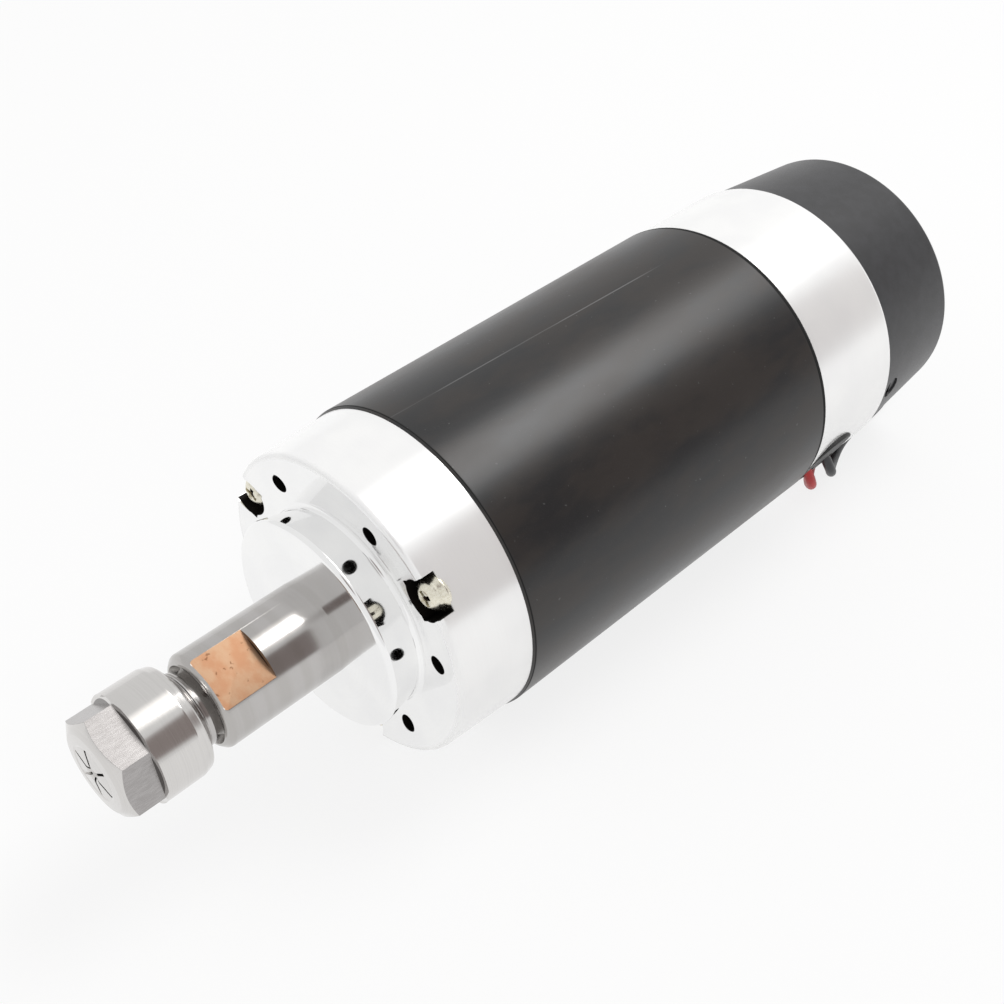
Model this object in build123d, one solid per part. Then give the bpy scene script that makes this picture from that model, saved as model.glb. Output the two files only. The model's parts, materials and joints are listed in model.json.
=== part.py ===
from build123d import *
import os
from math import cos, radians, sin, tan

os.makedirs("parts", exist_ok=True)

# ---------------------------------------------------------------- frame
# X runs along the spindle from nose to fan cap, Z is up, millimetres.
# The origin is on the axis at the front face of the front bell.

# ---------------------------------------------------------------- fits
RUN_GAP = 0.05          # journals and threads that turn
SEAT_GAP = 0.01         # parts pressed or glued on one another
ASSEMBLY_GAP = 0.10     # spigots and lids pushed together by hand
SCREW_GAP = 0.20        # clearance holes
NOMINAL_GAP = 0.02      # screw in its own tapped hole
PART_GAP = 0.30         # neighbours that never touch
SHAFT_GAP = 0.40        # round the nose shaft where it leaves the front bell
OVERCUT = 1.0           # how far a cutter runs past the face that it opens

# ---------------------------------------------------------------- motor body
BODY_R = 30.0
BELL_STEP = 0.4         # the bells are turned a little below the tube
CAP_STEP = 0.8          # and the fan cap a little below the bells
TUBE_WALL = 6.0
BELL_LEN = 16.3
TUBE_LEN = 80.9
REAR_BELL_LEN = 22.6
CAP_LEN = 26.1
CAP_WALL = 2.2
SPIGOT_LEN = 3.0
FRONT_SPIGOT_T = 4.0
REAR_SPIGOT_T = 2.9
CAP_SPIGOT_LEN = 6.0
CAP_SPIGOT_T = 3.0
JOINT_EDGE = 0.3        # broken edge on each side of a joint line

BELL_R = BODY_R - BELL_STEP
CAP_R = BODY_R - CAP_STEP
TUBE_X0 = BELL_LEN
TUBE_X1 = TUBE_X0 + TUBE_LEN
REAR_X1 = TUBE_X1 + REAR_BELL_LEN
CAP_X0 = REAR_X1 + ASSEMBLY_GAP
CAP_X1 = REAR_X1 + CAP_LEN
TUBE_BORE_R = BODY_R - TUBE_WALL
MID_WALL_R = BODY_R - TUBE_WALL / 2
SPIGOT_R = TUBE_BORE_R - ASSEMBLY_GAP
HOLLOW_R = SPIGOT_R - REAR_SPIGOT_T
CAP_BORE_R = CAP_R - CAP_WALL
CAP_SPIGOT_R = CAP_BORE_R - ASSEMBLY_GAP

# ---------------------------------------------------------------- front bell
BOSS_R = 20.0
BOSS_LEN = 6.2
BOSS_EDGE = 0.6
BELL_EDGE = 1.0
FACE_HOLE_PCD = 48.0
FACE_HOLE_R = 1.65
FACE_HOLE_DEPTH = 9.0
FACE_HOLE_MOUTH = 0.4
FACE_HOLE_COUNT = 6
FACE_HOLE_ANGLE = 51.0

# ---------------------------------------------------------------- body screws (M3)
M3_R = 1.5
SCREW_COUNT = 3
SCREW_ANGLE = 21.0
FRONT_SCREW_INSET = 0.1     # screw circle inside the middle of the tube wall
FRONT_HEAD_R = 3.0
FRONT_HEAD_H = 2.4
FRONT_HEAD_DOME = 0.8
FRONT_SEAT_X = 3.1
FRONT_SCREW_LEN = 20.0
POCKET_W = 7.4
POCKET_R = 4.0
POCKET_IN = 2.9             # flat inner side of the pocket from the screw
PHILLIPS_W = 0.9
PHILLIPS_SPAN = 3.2
PHILLIPS_DEPTH = 1.4
REAR_SCREW_INSET = 1.0
REAR_HEAD_R = 2.75
REAR_HEAD_H = 3.0
REAR_SCREW_LEN = 30.0
SOCKET_R = 1.45
SOCKET_DEPTH = 1.6
FRONT_SCREW_PCR = MID_WALL_R - FRONT_SCREW_INSET
REAR_SCREW_PCR = MID_WALL_R - REAR_SCREW_INSET

# ---------------------------------------------------------------- bearings
BALL_R = 2.38
RACE_GAP = 0.05         # ball to race
SHIELD_T = 0.3
SHIELD_INSET = 0.25
CAGE_HALF_T = 1.1
CAGE_BACK = 0.8
CAGE_LIP = 0.9
FB_BORE_R = 7.5         # 15 x 32 x 9
FB_OUT_R = 16.0
FB_W = 9.0
FB_X = 4.0
FB_BALLS = 9
SEAT_LAND = 1.6         # ring that the outer race bears on
SEAT_RELIEF = 0.8
RB_BORE_R = 5.0         # 10 x 26 x 8
RB_OUT_R = 13.0
RB_W = 8.0
RB_BALLS = 7
WAVE_T = 0.65
WAVE_W = 2.0
WAVE_GAP = 0.05
REAR_LIP_T = 1.0
REAR_LIP_GAP = 1.0
REAR_WEB_T = 5.3
BOSS_WALL = 2.6
VENT_R = 2.2
VENT_COUNT = 6
RB_X = REAR_X1 - REAR_LIP_T - WAVE_T - 3 * WAVE_GAP - RB_W
REAR_WEB_X = REAR_X1 - REAR_WEB_T
REAR_BOSS_R = RB_OUT_R + BOSS_WALL

# ---------------------------------------------------------------- collet and nut (ER11)
NOSE_LEN = 30.0
NECK_LEN = 3.0
THREAD_SHOWN = 2.0      # thread behind the nut
NUT_LEN = 14.5
NUT_OD = 19.0
NUT_AF = 17.0
NUT_FLAT_LEN = 5.6
NUT_FLAT_RAMP = 2.0
NUT_ANGLE = 110.0
NUT_MOUTH_R = 5.15
NUT_FRONT_EDGE = 1.4
NUT_FACE_EDGE = 2.4
NUT_REAR_EDGE = 1.3
NUT_REAR_FACE_EDGE = 0.6
SHAFT_FACE_DEPTH = 3.3  # shaft end behind the nut's face
COLLET_LEN = 18.0
COLLET_MAX_R = 5.75
COLLET_NOSE_R = 5.0
COLLET_NOSE_LEN = 2.2
COLLET_CONE_LEN = 1.0
COLLET_LAND = 0.9
COLLET_HALF_ANGLE = 8.0
COLLET_PROUD = 0.1
COLLET_END_WALL = 3.2   # left whole behind the front slits
COLLET_FACE_WALL = 2.6  # left whole in front of the rear slits
TOOL_R = 1.5875
SLIT_W = 0.5
SLIT_COUNT = 6
NOSE_X0 = -NOSE_LEN
THREAD_X1 = NOSE_X0 - NECK_LEN
NUT_X1 = THREAD_X1 - THREAD_SHOWN
NUT_X0 = NUT_X1 - NUT_LEN
THREAD_X0 = NUT_X0 + SHAFT_FACE_DEPTH

# ---------------------------------------------------------------- shaft
NOSE_R = 8.0
NECK_R = 6.65
THREAD_R = 7.0
NOSE_EDGE = 0.5
FLAT_AF = 14.8
FLAT_LEN = 10.0
FLAT_ANGLE = 117.0
DRAWBAR_R = 2.6
DRAWBAR_X = -18.0
SLEEVE_R = 8.8
CORE_SHAFT_R = 6.0
FAN_SHAFT_R = 4.0
SHAFT_TAIL = 3.5
SHAFT_BORE_R = NOSE_R + SHAFT_GAP

# ---------------------------------------------------------------- motor works
CORE_INSET = 15.7       # tube end to core, at each end
AIR_GAP = 0.6
SLOT_COUNT = 12
SLOT_INSET = 4.4        # slot centre inside the core
SLOT_R = 2.2
SLOT_MOUTH = 1.6
INSULATOR_T = 0.5
PAPER_INSET = 0.2
CROWN_LEN = 9.0
CROWN_FLAT = 3.0
CROWN_INSET = 1.2
CROWN_TAPER = 2.7
CROWN_GAP = 2.5         # crown to the sleeve in front of it
WIRE_SPACE = 3.0        # crown to the shaft
MAGNET_T = 5.0
MAGNET_SPAN = 130.0
MAGNET_OVERHANG = 4.0
CLIP_T = 0.7
CLIP_GAP = 0.35
COMM_R = 10.5
COMM_LEN = 14.0
COMM_GAP = 1.0          # commutator to the rear bearing
COMM_BARS = 12
RISER_H = 1.5
RISER_T = 1.6
MICA_W = 0.5
MICA_DEPTH = 1.2
HUB_R = 6.55
HUB_OVERHANG = 0.5
BRUSH_INSET = 5.0       # brush centre from the commutator's rear end
BRUSH_W = 6.0
BRUSH_T = 5.0
BRUSH_LEN = 6.0
HOLDER_WALL = 0.6
HOLDER_GAP = 0.4
HOLDER_LIFT = 1.5       # holder above the commutator
SPRING_R = 1.9
SPRING_WIRE = 0.6
PLATE_T = 2.0
PLATE_W = 6.5           # width of the ring that carries the brush holders
CORE_X0 = TUBE_X0 + CORE_INSET
CORE_X1 = TUBE_X1 - CORE_INSET
MAGNET_X0 = CORE_X0 - MAGNET_OVERHANG
MAGNET_X1 = CORE_X1 + MAGNET_OVERHANG
MAGNET_R0 = TUBE_BORE_R - MAGNET_T
CORE_R = MAGNET_R0 - AIR_GAP
SLOT_PCR = CORE_R - SLOT_INSET
CROWN_X = CORE_X0 - INSULATOR_T
SLEEVE_X1 = CROWN_X - CROWN_LEN - CROWN_GAP
COMM_X1 = RB_X - COMM_GAP
COMM_X0 = COMM_X1 - COMM_LEN
BRUSH_X = COMM_X1 - BRUSH_INSET
HOLDER_Z0 = COMM_R + HOLDER_LIFT
HOLDER_Z1 = HOLLOW_R - HOLDER_GAP

# ---------------------------------------------------------------- fan
FAN_INSET = 3.2         # rear bell to fan
FAN_LEN = 11.5
FAN_PLATE_T = 1.2
FAN_TIP_GAP = 1.4
FAN_HUB_R = 7.5
BLADE_COUNT = 9
BLADE_T = 1.1
BLADE_EDGE = 1.0
FAN_CLIP_T = 0.8
FAN_CLIP_R = 6.4
FAN_X0 = REAR_X1 + FAN_INSET
FAN_X1 = FAN_X0 + FAN_LEN
FAN_R = CAP_SPIGOT_R - CAP_SPIGOT_T - FAN_TIP_GAP
SHAFT_X1 = FAN_X1 + SHAFT_TAIL

# ---------------------------------------------------------------- fan cap
CAP_EDGE = 2.4
GRILLE_COUNT = 12
GRILLE_R0 = 9.0
GRILLE_RIM = 5.2
GRILLE_W = 2.8
PRY_COUNT = 2
PRY_ANGLE = 81.0
PRY_W = 3.0
PRY_DEPTH = 1.6
PRY_REACH = 4.0
CAP_SCREW_COUNT = 2
CAP_SCREW_INSET = 3.8
CAP_SCREW_ANGLE = 187.0
CAP_SCREW_R = 1.25
CAP_SCREW_GRIP = 2.8
CAP_HEAD_R = 2.1
CAP_HEAD_H = 1.2
CAP_HEAD_SUNK = 0.2
DRIVER_SLOT_W = 0.8
DRIVER_SLOT_DEPTH = 0.7

# ---------------------------------------------------------------- leads
LEAD_R = 1.1
LEAD_MOUTH = 0.5
CRIMP_R = 1.6
CRIMP_LEN = 3.0
GROMMET_INSET = 8.3     # from the tube's end
GROMMET_R = 6.4
GROMMET_ANGLE = 206.0
GROMMET_BACK = 0.5
FLANGE_W = 0.9
FLANGE_T = 0.7
HANK_X0 = 100.0
HANK_X1 = 140.0
HANK_Y = 48.0
HANK_W = 17.0
HANK_H = 7.0
HANK_EDGE = 1.0
STRAND_GAP = 0.3
TAIL_LEN = 19.0
TIP_LEN = 5.0
TIP_R = 0.8
TIE_T = 0.7
TIE_W = 3.2
FLOOR_Z = -BODY_R
GROMMET_X = TUBE_X1 + GROMMET_INSET


# ---------------------------------------------------------------- helpers
def lathe(points):
    """Solid turned about X from (x, radius) corners."""
    face = make_face(Polyline(*[(x, r) for x, r in points], close=True))
    return revolve(face, axis=Axis.X, revolution_arc=360)


def rod(x0, x1, r, y=0.0, z=0.0):
    """Round bar along X."""
    return Pos((x0 + x1) / 2, y, z) * Rot(0, 90, 0) * Cylinder(r, x1 - x0)


def ring(x0, x1, r_out, r_in):
    return rod(x0, x1, r_out) - rod(x0 - OVERCUT, x1 + OVERCUT, r_in)


def spoke(x, r0, r1, radius):
    """Round bar along +Y between two distances from the axis."""
    return Pos(x, (r0 + r1) / 2, 0) * Rot(90, 0, 0) * Cylinder(radius, r1 - r0)


def block(x0, x1, y0, y1, z0, z1):
    return Pos((x0 + x1) / 2, (y0 + y1) / 2, (z0 + z1) / 2) * Box(x1 - x0, y1 - y0, z1 - z0)


def turned(shape, angle):
    """The shape turned about the spindle axis, angle 0 on +Y and 90 on +Z."""
    return Rot(angle, 0, 0) * shape


def around(shape, count, start=0.0):
    """Copies of the shape spaced evenly about the spindle axis."""
    return [turned(shape, start + i * 360 / count) for i in range(count)]


def group(shapes):
    return Compound(children=list(shapes))


def cross_recess(x):
    """Phillips recess sunk into a head whose top is at x, seen from -X."""
    half = PHILLIPS_SPAN / 2
    bar = block(x - OVERCUT, x + PHILLIPS_DEPTH, -half, half, -PHILLIPS_W / 2, PHILLIPS_W / 2)
    return [bar, Rot(90, 0, 0) * bar]


def bend_radii(points):
    """Largest easy bend at each inner point: 0.45 of the shorter run."""
    radii = []
    for a, b, c in zip(points, points[1:], points[2:]):
        before = Vector(*b) - Vector(*a)
        after = Vector(*c) - Vector(*b)
        half_turn = radians(before.get_angle(after)) / 2
        radii.append(0.45 * min(before.length, after.length) / tan(half_turn))
    return radii


def lead_along(points, r):
    """Round flexible lead through the points, with tangent bends at the inner ones."""
    path = FilletPolyline(*points, radius=bend_radii(points))
    return sweep(Plane(path @ 0, z_dir=path % 0) * Circle(r), path=path)


# ---------------------------------------------------------------- housing
front_bell = lathe([
    (-BOSS_LEN, SHAFT_BORE_R), (-BOSS_LEN, BOSS_R - BOSS_EDGE), (BOSS_EDGE - BOSS_LEN, BOSS_R),
    (0, BOSS_R), (0, BELL_R - BELL_EDGE), (BELL_EDGE, BELL_R),
    (BELL_LEN - JOINT_EDGE, BELL_R), (BELL_LEN, BELL_R - JOINT_EDGE),
    (BELL_LEN, SPIGOT_R), (BELL_LEN + SPIGOT_LEN, SPIGOT_R),
    (BELL_LEN + SPIGOT_LEN, SPIGOT_R - FRONT_SPIGOT_T), (FB_X + FB_W, SPIGOT_R - FRONT_SPIGOT_T),
    (FB_X + FB_W, FB_OUT_R + SEAT_GAP), (FB_X, FB_OUT_R + SEAT_GAP),
    (FB_X, FB_OUT_R - SEAT_LAND), (FB_X - SEAT_RELIEF, FB_OUT_R - SEAT_LAND),
    (FB_X - SEAT_RELIEF, SHAFT_BORE_R),
])
hole_pcr = FACE_HOLE_PCD / 2
face_hole = rod(-OVERCUT, FACE_HOLE_DEPTH, FACE_HOLE_R, y=hole_pcr)
face_hole += Pos(0, hole_pcr, 0) * lathe([
    (-OVERCUT, 0), (-OVERCUT, FACE_HOLE_R + FACE_HOLE_MOUTH + OVERCUT),
    (FACE_HOLE_MOUTH, FACE_HOLE_R), (FACE_HOLE_MOUTH, 0)])
front_bell -= around(face_hole, FACE_HOLE_COUNT, FACE_HOLE_ANGLE)
pocket = rod(-OVERCUT, FRONT_SEAT_X, POCKET_R, y=FRONT_SCREW_PCR)
pocket += block(-OVERCUT, FRONT_SEAT_X, FRONT_SCREW_PCR - POCKET_IN, BODY_R + OVERCUT,
                -POCKET_W / 2, POCKET_W / 2)
pocket += rod(-OVERCUT, BELL_LEN + OVERCUT, M3_R + SCREW_GAP, y=FRONT_SCREW_PCR)
front_bell -= around(pocket, SCREW_COUNT, SCREW_ANGLE)

front_end_x = FRONT_SEAT_X + FRONT_SCREW_LEN
rear_seat_x = REAR_X1 - REAR_HEAD_H
rear_end_x = rear_seat_x - REAR_SCREW_LEN
motor_tube = ring(TUBE_X0, TUBE_X1, BODY_R, TUBE_BORE_R)
front_tap = rod(TUBE_X0 - OVERCUT, front_end_x + OVERCUT, M3_R, y=FRONT_SCREW_PCR)
rear_tap = rod(rear_end_x - OVERCUT, TUBE_X1 + OVERCUT, M3_R, y=REAR_SCREW_PCR)
motor_tube -= around(front_tap, SCREW_COUNT, SCREW_ANGLE)
motor_tube -= around(rear_tap, SCREW_COUNT, SCREW_ANGLE)

rear_bell = lathe([
    (TUBE_X1 - SPIGOT_LEN, HOLLOW_R), (TUBE_X1 - SPIGOT_LEN, SPIGOT_R), (TUBE_X1, SPIGOT_R),
    (TUBE_X1, BELL_R - JOINT_EDGE), (TUBE_X1 + JOINT_EDGE, BELL_R),
    (REAR_X1 - JOINT_EDGE, BELL_R), (REAR_X1, BELL_R - JOINT_EDGE),
    (REAR_X1, CAP_SPIGOT_R), (REAR_X1 + CAP_SPIGOT_LEN, CAP_SPIGOT_R),
    (REAR_X1 + CAP_SPIGOT_LEN, CAP_SPIGOT_R - CAP_SPIGOT_T),
    (REAR_X1, CAP_SPIGOT_R - CAP_SPIGOT_T),
    (REAR_X1, RB_BORE_R + REAR_LIP_GAP), (REAR_X1 - REAR_LIP_T, RB_BORE_R + REAR_LIP_GAP),
    (REAR_X1 - REAR_LIP_T, RB_OUT_R + SEAT_GAP), (RB_X, RB_OUT_R + SEAT_GAP),
    (RB_X, REAR_BOSS_R), (REAR_WEB_X, REAR_BOSS_R), (REAR_WEB_X, HOLLOW_R),
])
vent = rod(REAR_WEB_X - OVERCUT, REAR_X1 + OVERCUT, VENT_R, y=(HOLLOW_R + REAR_BOSS_R) / 2)
rear_bell -= around(vent, VENT_COUNT, FACE_HOLE_ANGLE)
counterbore = rod(rear_seat_x, REAR_X1 + CAP_SPIGOT_LEN + OVERCUT, REAR_HEAD_R + SCREW_GAP,
                  y=REAR_SCREW_PCR)
counterbore += rod(TUBE_X1 - OVERCUT, REAR_X1, M3_R + SCREW_GAP, y=REAR_SCREW_PCR)
rear_bell -= around(counterbore, SCREW_COUNT, SCREW_ANGLE)
grommet_hole = spoke(GROMMET_X, HOLLOW_R - OVERCUT, BODY_R + OVERCUT, GROMMET_R)
rear_bell -= turned(grommet_hole, GROMMET_ANGLE)

fan_cap = rod(CAP_X0, CAP_X1, CAP_R)
fan_cap = fillet(fan_cap.edges().group_by(Axis.X)[-1], CAP_EDGE)
fan_cap -= rod(CAP_X0 - OVERCUT, CAP_X1 - CAP_WALL, CAP_BORE_R)
grille = block(CAP_X1 - CAP_WALL - OVERCUT, CAP_X1 + OVERCUT, GRILLE_R0, CAP_R - GRILLE_RIM,
               -GRILLE_W / 2, GRILLE_W / 2)
fan_cap -= around(grille, GRILLE_COUNT, 180 / GRILLE_COUNT)
pry_notch = block(CAP_X1 - PRY_DEPTH, CAP_X1 + OVERCUT, CAP_R - PRY_REACH, CAP_R + OVERCUT,
                  -PRY_W / 2, PRY_W / 2)
fan_cap -= around(pry_notch, PRY_COUNT, PRY_ANGLE)

cap_screw_x = REAR_X1 + CAP_SCREW_INSET
cap_head_top = CAP_R - CAP_HEAD_SUNK
cap_head_seat = cap_head_top - CAP_HEAD_H
cap_screw_tip = CAP_SPIGOT_R - CAP_SCREW_GRIP
cap_screw = spoke(cap_screw_x, cap_screw_tip, cap_head_top, CAP_SCREW_R)
cap_screw += spoke(cap_screw_x, cap_head_seat, cap_head_top, CAP_HEAD_R)
cap_screw -= block(cap_screw_x - DRIVER_SLOT_W / 2, cap_screw_x + DRIVER_SLOT_W / 2,
                   cap_head_top - DRIVER_SLOT_DEPTH, CAP_R, -2 * CAP_HEAD_R, 2 * CAP_HEAD_R)
cap_hole = spoke(cap_screw_x, CAP_BORE_R - OVERCUT, CAP_R + OVERCUT, CAP_SCREW_R + SCREW_GAP)
cap_hole += spoke(cap_screw_x, cap_head_seat, CAP_R + OVERCUT, CAP_HEAD_R + SCREW_GAP)
fan_cap -= around(cap_hole, CAP_SCREW_COUNT, CAP_SCREW_ANGLE)
cap_tap = spoke(cap_screw_x, cap_screw_tip - OVERCUT, CAP_R, CAP_SCREW_R + NOMINAL_GAP)
rear_bell -= around(cap_tap, CAP_SCREW_COUNT, CAP_SCREW_ANGLE)
cap_screws = group(around(cap_screw, CAP_SCREW_COUNT, CAP_SCREW_ANGLE))

# ---------------------------------------------------------------- body screws
shank_r = M3_R - NOMINAL_GAP
head_x = FRONT_SEAT_X - FRONT_HEAD_H
front_screw = lathe([
    (head_x, 0), (head_x, FRONT_HEAD_R - FRONT_HEAD_DOME), (head_x + FRONT_HEAD_DOME, FRONT_HEAD_R),
    (FRONT_SEAT_X, FRONT_HEAD_R), (FRONT_SEAT_X, shank_r), (front_end_x, shank_r),
    (front_end_x, 0)])
front_screw -= cross_recess(head_x)
front_screws = group(around(Pos(0, FRONT_SCREW_PCR, 0) * front_screw, SCREW_COUNT, SCREW_ANGLE))
socket = Pos(REAR_X1, 0, 0) * Rot(0, 90, 0) * extrude(RegularPolygon(SOCKET_R, 6), -SOCKET_DEPTH)
rear_screw = lathe([
    (rear_end_x, 0), (rear_end_x, shank_r), (rear_seat_x, shank_r),
    (rear_seat_x, REAR_HEAD_R), (REAR_X1, REAR_HEAD_R), (REAR_X1, 0)])
rear_screw -= socket
rear_screws = group(around(Pos(0, REAR_SCREW_PCR, 0) * rear_screw, SCREW_COUNT, SCREW_ANGLE))


# ---------------------------------------------------------------- bearings
def bearing(x, width, bore_r, out_r, ball_count):
    """Shielded deep-groove ball bearing: outer, inner, shields, balls, cage."""
    pitch_r = (out_r + bore_r) / 2
    race_reach = BALL_R + RACE_GAP
    outer = ring(x, x + width, out_r, pitch_r + race_reach)
    inner = ring(x, x + width, pitch_r - race_reach, bore_r)
    shield_x = x + SHIELD_INSET
    shield = ring(shield_x, shield_x + SHIELD_T, pitch_r + race_reach - SEAT_GAP,
                  pitch_r - race_reach + PART_GAP)
    shields = group([shield, Pos(width - 2 * SHIELD_INSET - SHIELD_T, 0, 0) * shield])
    mid = x + width / 2
    side = 2 * BALL_R / (1 + 2 * (2 ** 0.5 - 1) ** 2) ** 0.5
    blank = Box(side, side, side)
    ball = chamfer(blank.edges(), side * (1 - 1 / 2 ** 0.5))
    balls = group(around(Pos(mid, pitch_r, 0) * ball, ball_count, FLAT_ANGLE))
    cage = ring(mid - CAGE_BACK, mid + BALL_R + CAGE_LIP, pitch_r + CAGE_HALF_T,
                pitch_r - CAGE_HALF_T)
    across = 2 * (BALL_R + ASSEMBLY_GAP)
    ball_pocket = Pos(mid, pitch_r, 0) * Box(across, across, across)
    cage -= around(ball_pocket, ball_count, FLAT_ANGLE)
    return outer, inner, shields, balls, cage


fb_outer, fb_inner, fb_shields, fb_balls, fb_cage = bearing(
    FB_X, FB_W, FB_BORE_R, FB_OUT_R, FB_BALLS)
rb_outer, rb_inner, rb_shields, rb_balls, rb_cage = bearing(
    RB_X, RB_W, RB_BORE_R, RB_OUT_R, RB_BALLS)
wave_x = RB_X + RB_W + WAVE_GAP
wave_spring = ring(wave_x, wave_x + WAVE_T, RB_OUT_R - SCREW_GAP, RB_OUT_R - SCREW_GAP - WAVE_W)

# ---------------------------------------------------------------- shaft
taper = tan(radians(COLLET_HALF_ANGLE))
cone_x = NUT_X0 + COLLET_NOSE_LEN
land_x = cone_x + COLLET_CONE_LEN
taper_x = land_x + COLLET_LAND
collet_x1 = NUT_X0 + COLLET_LEN
collet_tail_r = COLLET_MAX_R - (collet_x1 - taper_x) * taper
socket_mouth_r = COLLET_MAX_R + RUN_GAP + (taper_x - THREAD_X0) * taper
socket_x1 = collet_x1 + PART_GAP
front_journal_r = FB_BORE_R - SEAT_GAP
rear_journal_r = RB_BORE_R - SEAT_GAP
spindle_shaft = lathe([
    (THREAD_X0, socket_mouth_r), (THREAD_X0, THREAD_R - NOSE_EDGE),
    (THREAD_X0 + NOSE_EDGE, THREAD_R), (THREAD_X1, THREAD_R), (THREAD_X1, NECK_R),
    (NOSE_X0, NECK_R), (NOSE_X0, NOSE_R - NOSE_EDGE), (NOSE_X0 + NOSE_EDGE, NOSE_R),
    (FB_X - RUN_GAP, NOSE_R), (FB_X - RUN_GAP, front_journal_r),
    (SLEEVE_X1, front_journal_r), (SLEEVE_X1, CORE_SHAFT_R),
    (COMM_X0 - OVERCUT, CORE_SHAFT_R), (COMM_X0 - OVERCUT, rear_journal_r),
    (RB_X + RB_W + PART_GAP, rear_journal_r), (RB_X + RB_W + PART_GAP, FAN_SHAFT_R),
    (SHAFT_X1 - NOSE_EDGE, FAN_SHAFT_R), (SHAFT_X1, FAN_SHAFT_R - NOSE_EDGE), (SHAFT_X1, 0),
    (DRAWBAR_X, 0), (DRAWBAR_X, DRAWBAR_R), (socket_x1, DRAWBAR_R),
    (socket_x1, collet_tail_r + RUN_GAP),
])
flat_cut = block(NOSE_X0 - OVERCUT, NOSE_X0 + FLAT_LEN, FLAT_AF / 2, FLAT_AF, -NOSE_R, NOSE_R)
spindle_shaft -= around(flat_cut, 2, FLAT_ANGLE)
shaft_sleeve = ring(FB_X + FB_W + RUN_GAP, SLEEVE_X1, SLEEVE_R, FB_BORE_R)

# ---------------------------------------------------------------- collet and nut
collet = lathe([
    (NUT_X0 - COLLET_PROUD, TOOL_R), (NUT_X0 - COLLET_PROUD, COLLET_NOSE_R),
    (cone_x, COLLET_NOSE_R), (land_x, COLLET_MAX_R), (taper_x, COLLET_MAX_R),
    (collet_x1, collet_tail_r), (collet_x1, TOOL_R),
])
front_slit = block(NUT_X0 - OVERCUT, collet_x1 - COLLET_END_WALL, 0, COLLET_MAX_R + OVERCUT,
                   -SLIT_W / 2, SLIT_W / 2)
rear_slit = block(NUT_X0 + COLLET_FACE_WALL, collet_x1 + OVERCUT, TOOL_R + OVERCUT,
                  COLLET_MAX_R + OVERCUT, -SLIT_W / 2, SLIT_W / 2)
collet -= around(front_slit, SLIT_COUNT, NUT_ANGLE - 180 / SLIT_COUNT)
collet -= around(rear_slit, SLIT_COUNT, NUT_ANGLE)

nut_r = NUT_OD / 2
bore_end_x = THREAD_X0 - PART_GAP
cone_slope = (COLLET_MAX_R - COLLET_NOSE_R) / COLLET_CONE_LEN
nut_cone_x = cone_x + RUN_GAP
collet_nut = lathe([
    (NUT_X0, NUT_MOUTH_R), (NUT_X0, nut_r - NUT_FACE_EDGE), (NUT_X0 + NUT_FRONT_EDGE, nut_r),
    (NUT_X1 - NUT_REAR_EDGE, nut_r), (NUT_X1, nut_r - NUT_REAR_FACE_EDGE),
    (NUT_X1, THREAD_R + RUN_GAP), (bore_end_x, THREAD_R + RUN_GAP),
    (bore_end_x, NUT_MOUTH_R + (bore_end_x - nut_cone_x) * cone_slope),
    (nut_cone_x, NUT_MOUTH_R),
])
flat_r = NUT_AF / 2
flat_x1 = NUT_X0 + NUT_FLAT_LEN
ramp_r = nut_r + SCREW_GAP
outside_r = nut_r + NUT_FLAT_RAMP
wedge = make_face(Polyline(
    (NUT_X0 - OVERCUT, flat_r), (flat_x1, flat_r), (flat_x1 + NUT_FLAT_RAMP, ramp_r),
    (flat_x1, outside_r), (NUT_X0 - OVERCUT, outside_r), close=True))
flat_side = extrude(wedge, amount=nut_r, both=True)
collet_nut -= around(flat_side, 6, NUT_ANGLE)

# ---------------------------------------------------------------- armature
slot = rod(CORE_X0 - OVERCUT, CORE_X1 + OVERCUT, SLOT_R, y=SLOT_PCR)
slot += block(CORE_X0 - OVERCUT, CORE_X1 + OVERCUT, SLOT_PCR, CORE_R + OVERCUT,
              -SLOT_MOUTH / 2, SLOT_MOUTH / 2)
slots = around(slot, SLOT_COUNT)
core_bore_r = CORE_SHAFT_R + SEAT_GAP
armature_core = ring(CORE_X0, CORE_X1, CORE_R, core_bore_r) - slots
end_paper = ring(CROWN_X, CORE_X0, CORE_R - PAPER_INSET, core_bore_r) - slots
far_paper = Pos(CORE_X1 - CROWN_X, 0, 0) * end_paper
core_insulators = group([end_paper, far_paper])
crown_r = CORE_R - CROWN_INSET
crown_bore_r = CORE_SHAFT_R + WIRE_SPACE
crown = lathe([
    (CROWN_X, crown_bore_r), (CROWN_X, crown_r), (CROWN_X - CROWN_FLAT, crown_r),
    (CROWN_X - CROWN_LEN, crown_r - CROWN_TAPER), (CROWN_X - CROWN_LEN, crown_bore_r)])
windings = crown + mirror(crown, about=Plane.YZ.offset((CORE_X0 + CORE_X1) / 2))
coil_bar = rod(CROWN_X - OVERCUT, CORE_X1 + INSULATOR_T + OVERCUT, SLOT_R - ASSEMBLY_GAP,
               y=SLOT_PCR)
windings += around(coil_bar, SLOT_COUNT)

commutator_hub = ring(COMM_X0 - HUB_OVERHANG, COMM_X1 + HUB_OVERHANG, HUB_R,
                      RB_BORE_R + SEAT_GAP)
riser_r = COMM_R + RISER_H
commutator = lathe([
    (COMM_X0, HUB_R + SEAT_GAP), (COMM_X0, riser_r), (COMM_X0 + RISER_T, riser_r),
    (COMM_X0 + RISER_T, COMM_R), (COMM_X1, COMM_R), (COMM_X1, HUB_R + SEAT_GAP)])
undercut = block(COMM_X0 - OVERCUT, COMM_X1 + OVERCUT, COMM_R - MICA_DEPTH, riser_r + OVERCUT,
                 -MICA_W / 2, MICA_W / 2)
commutator -= around(undercut, COMM_BARS)

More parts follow.
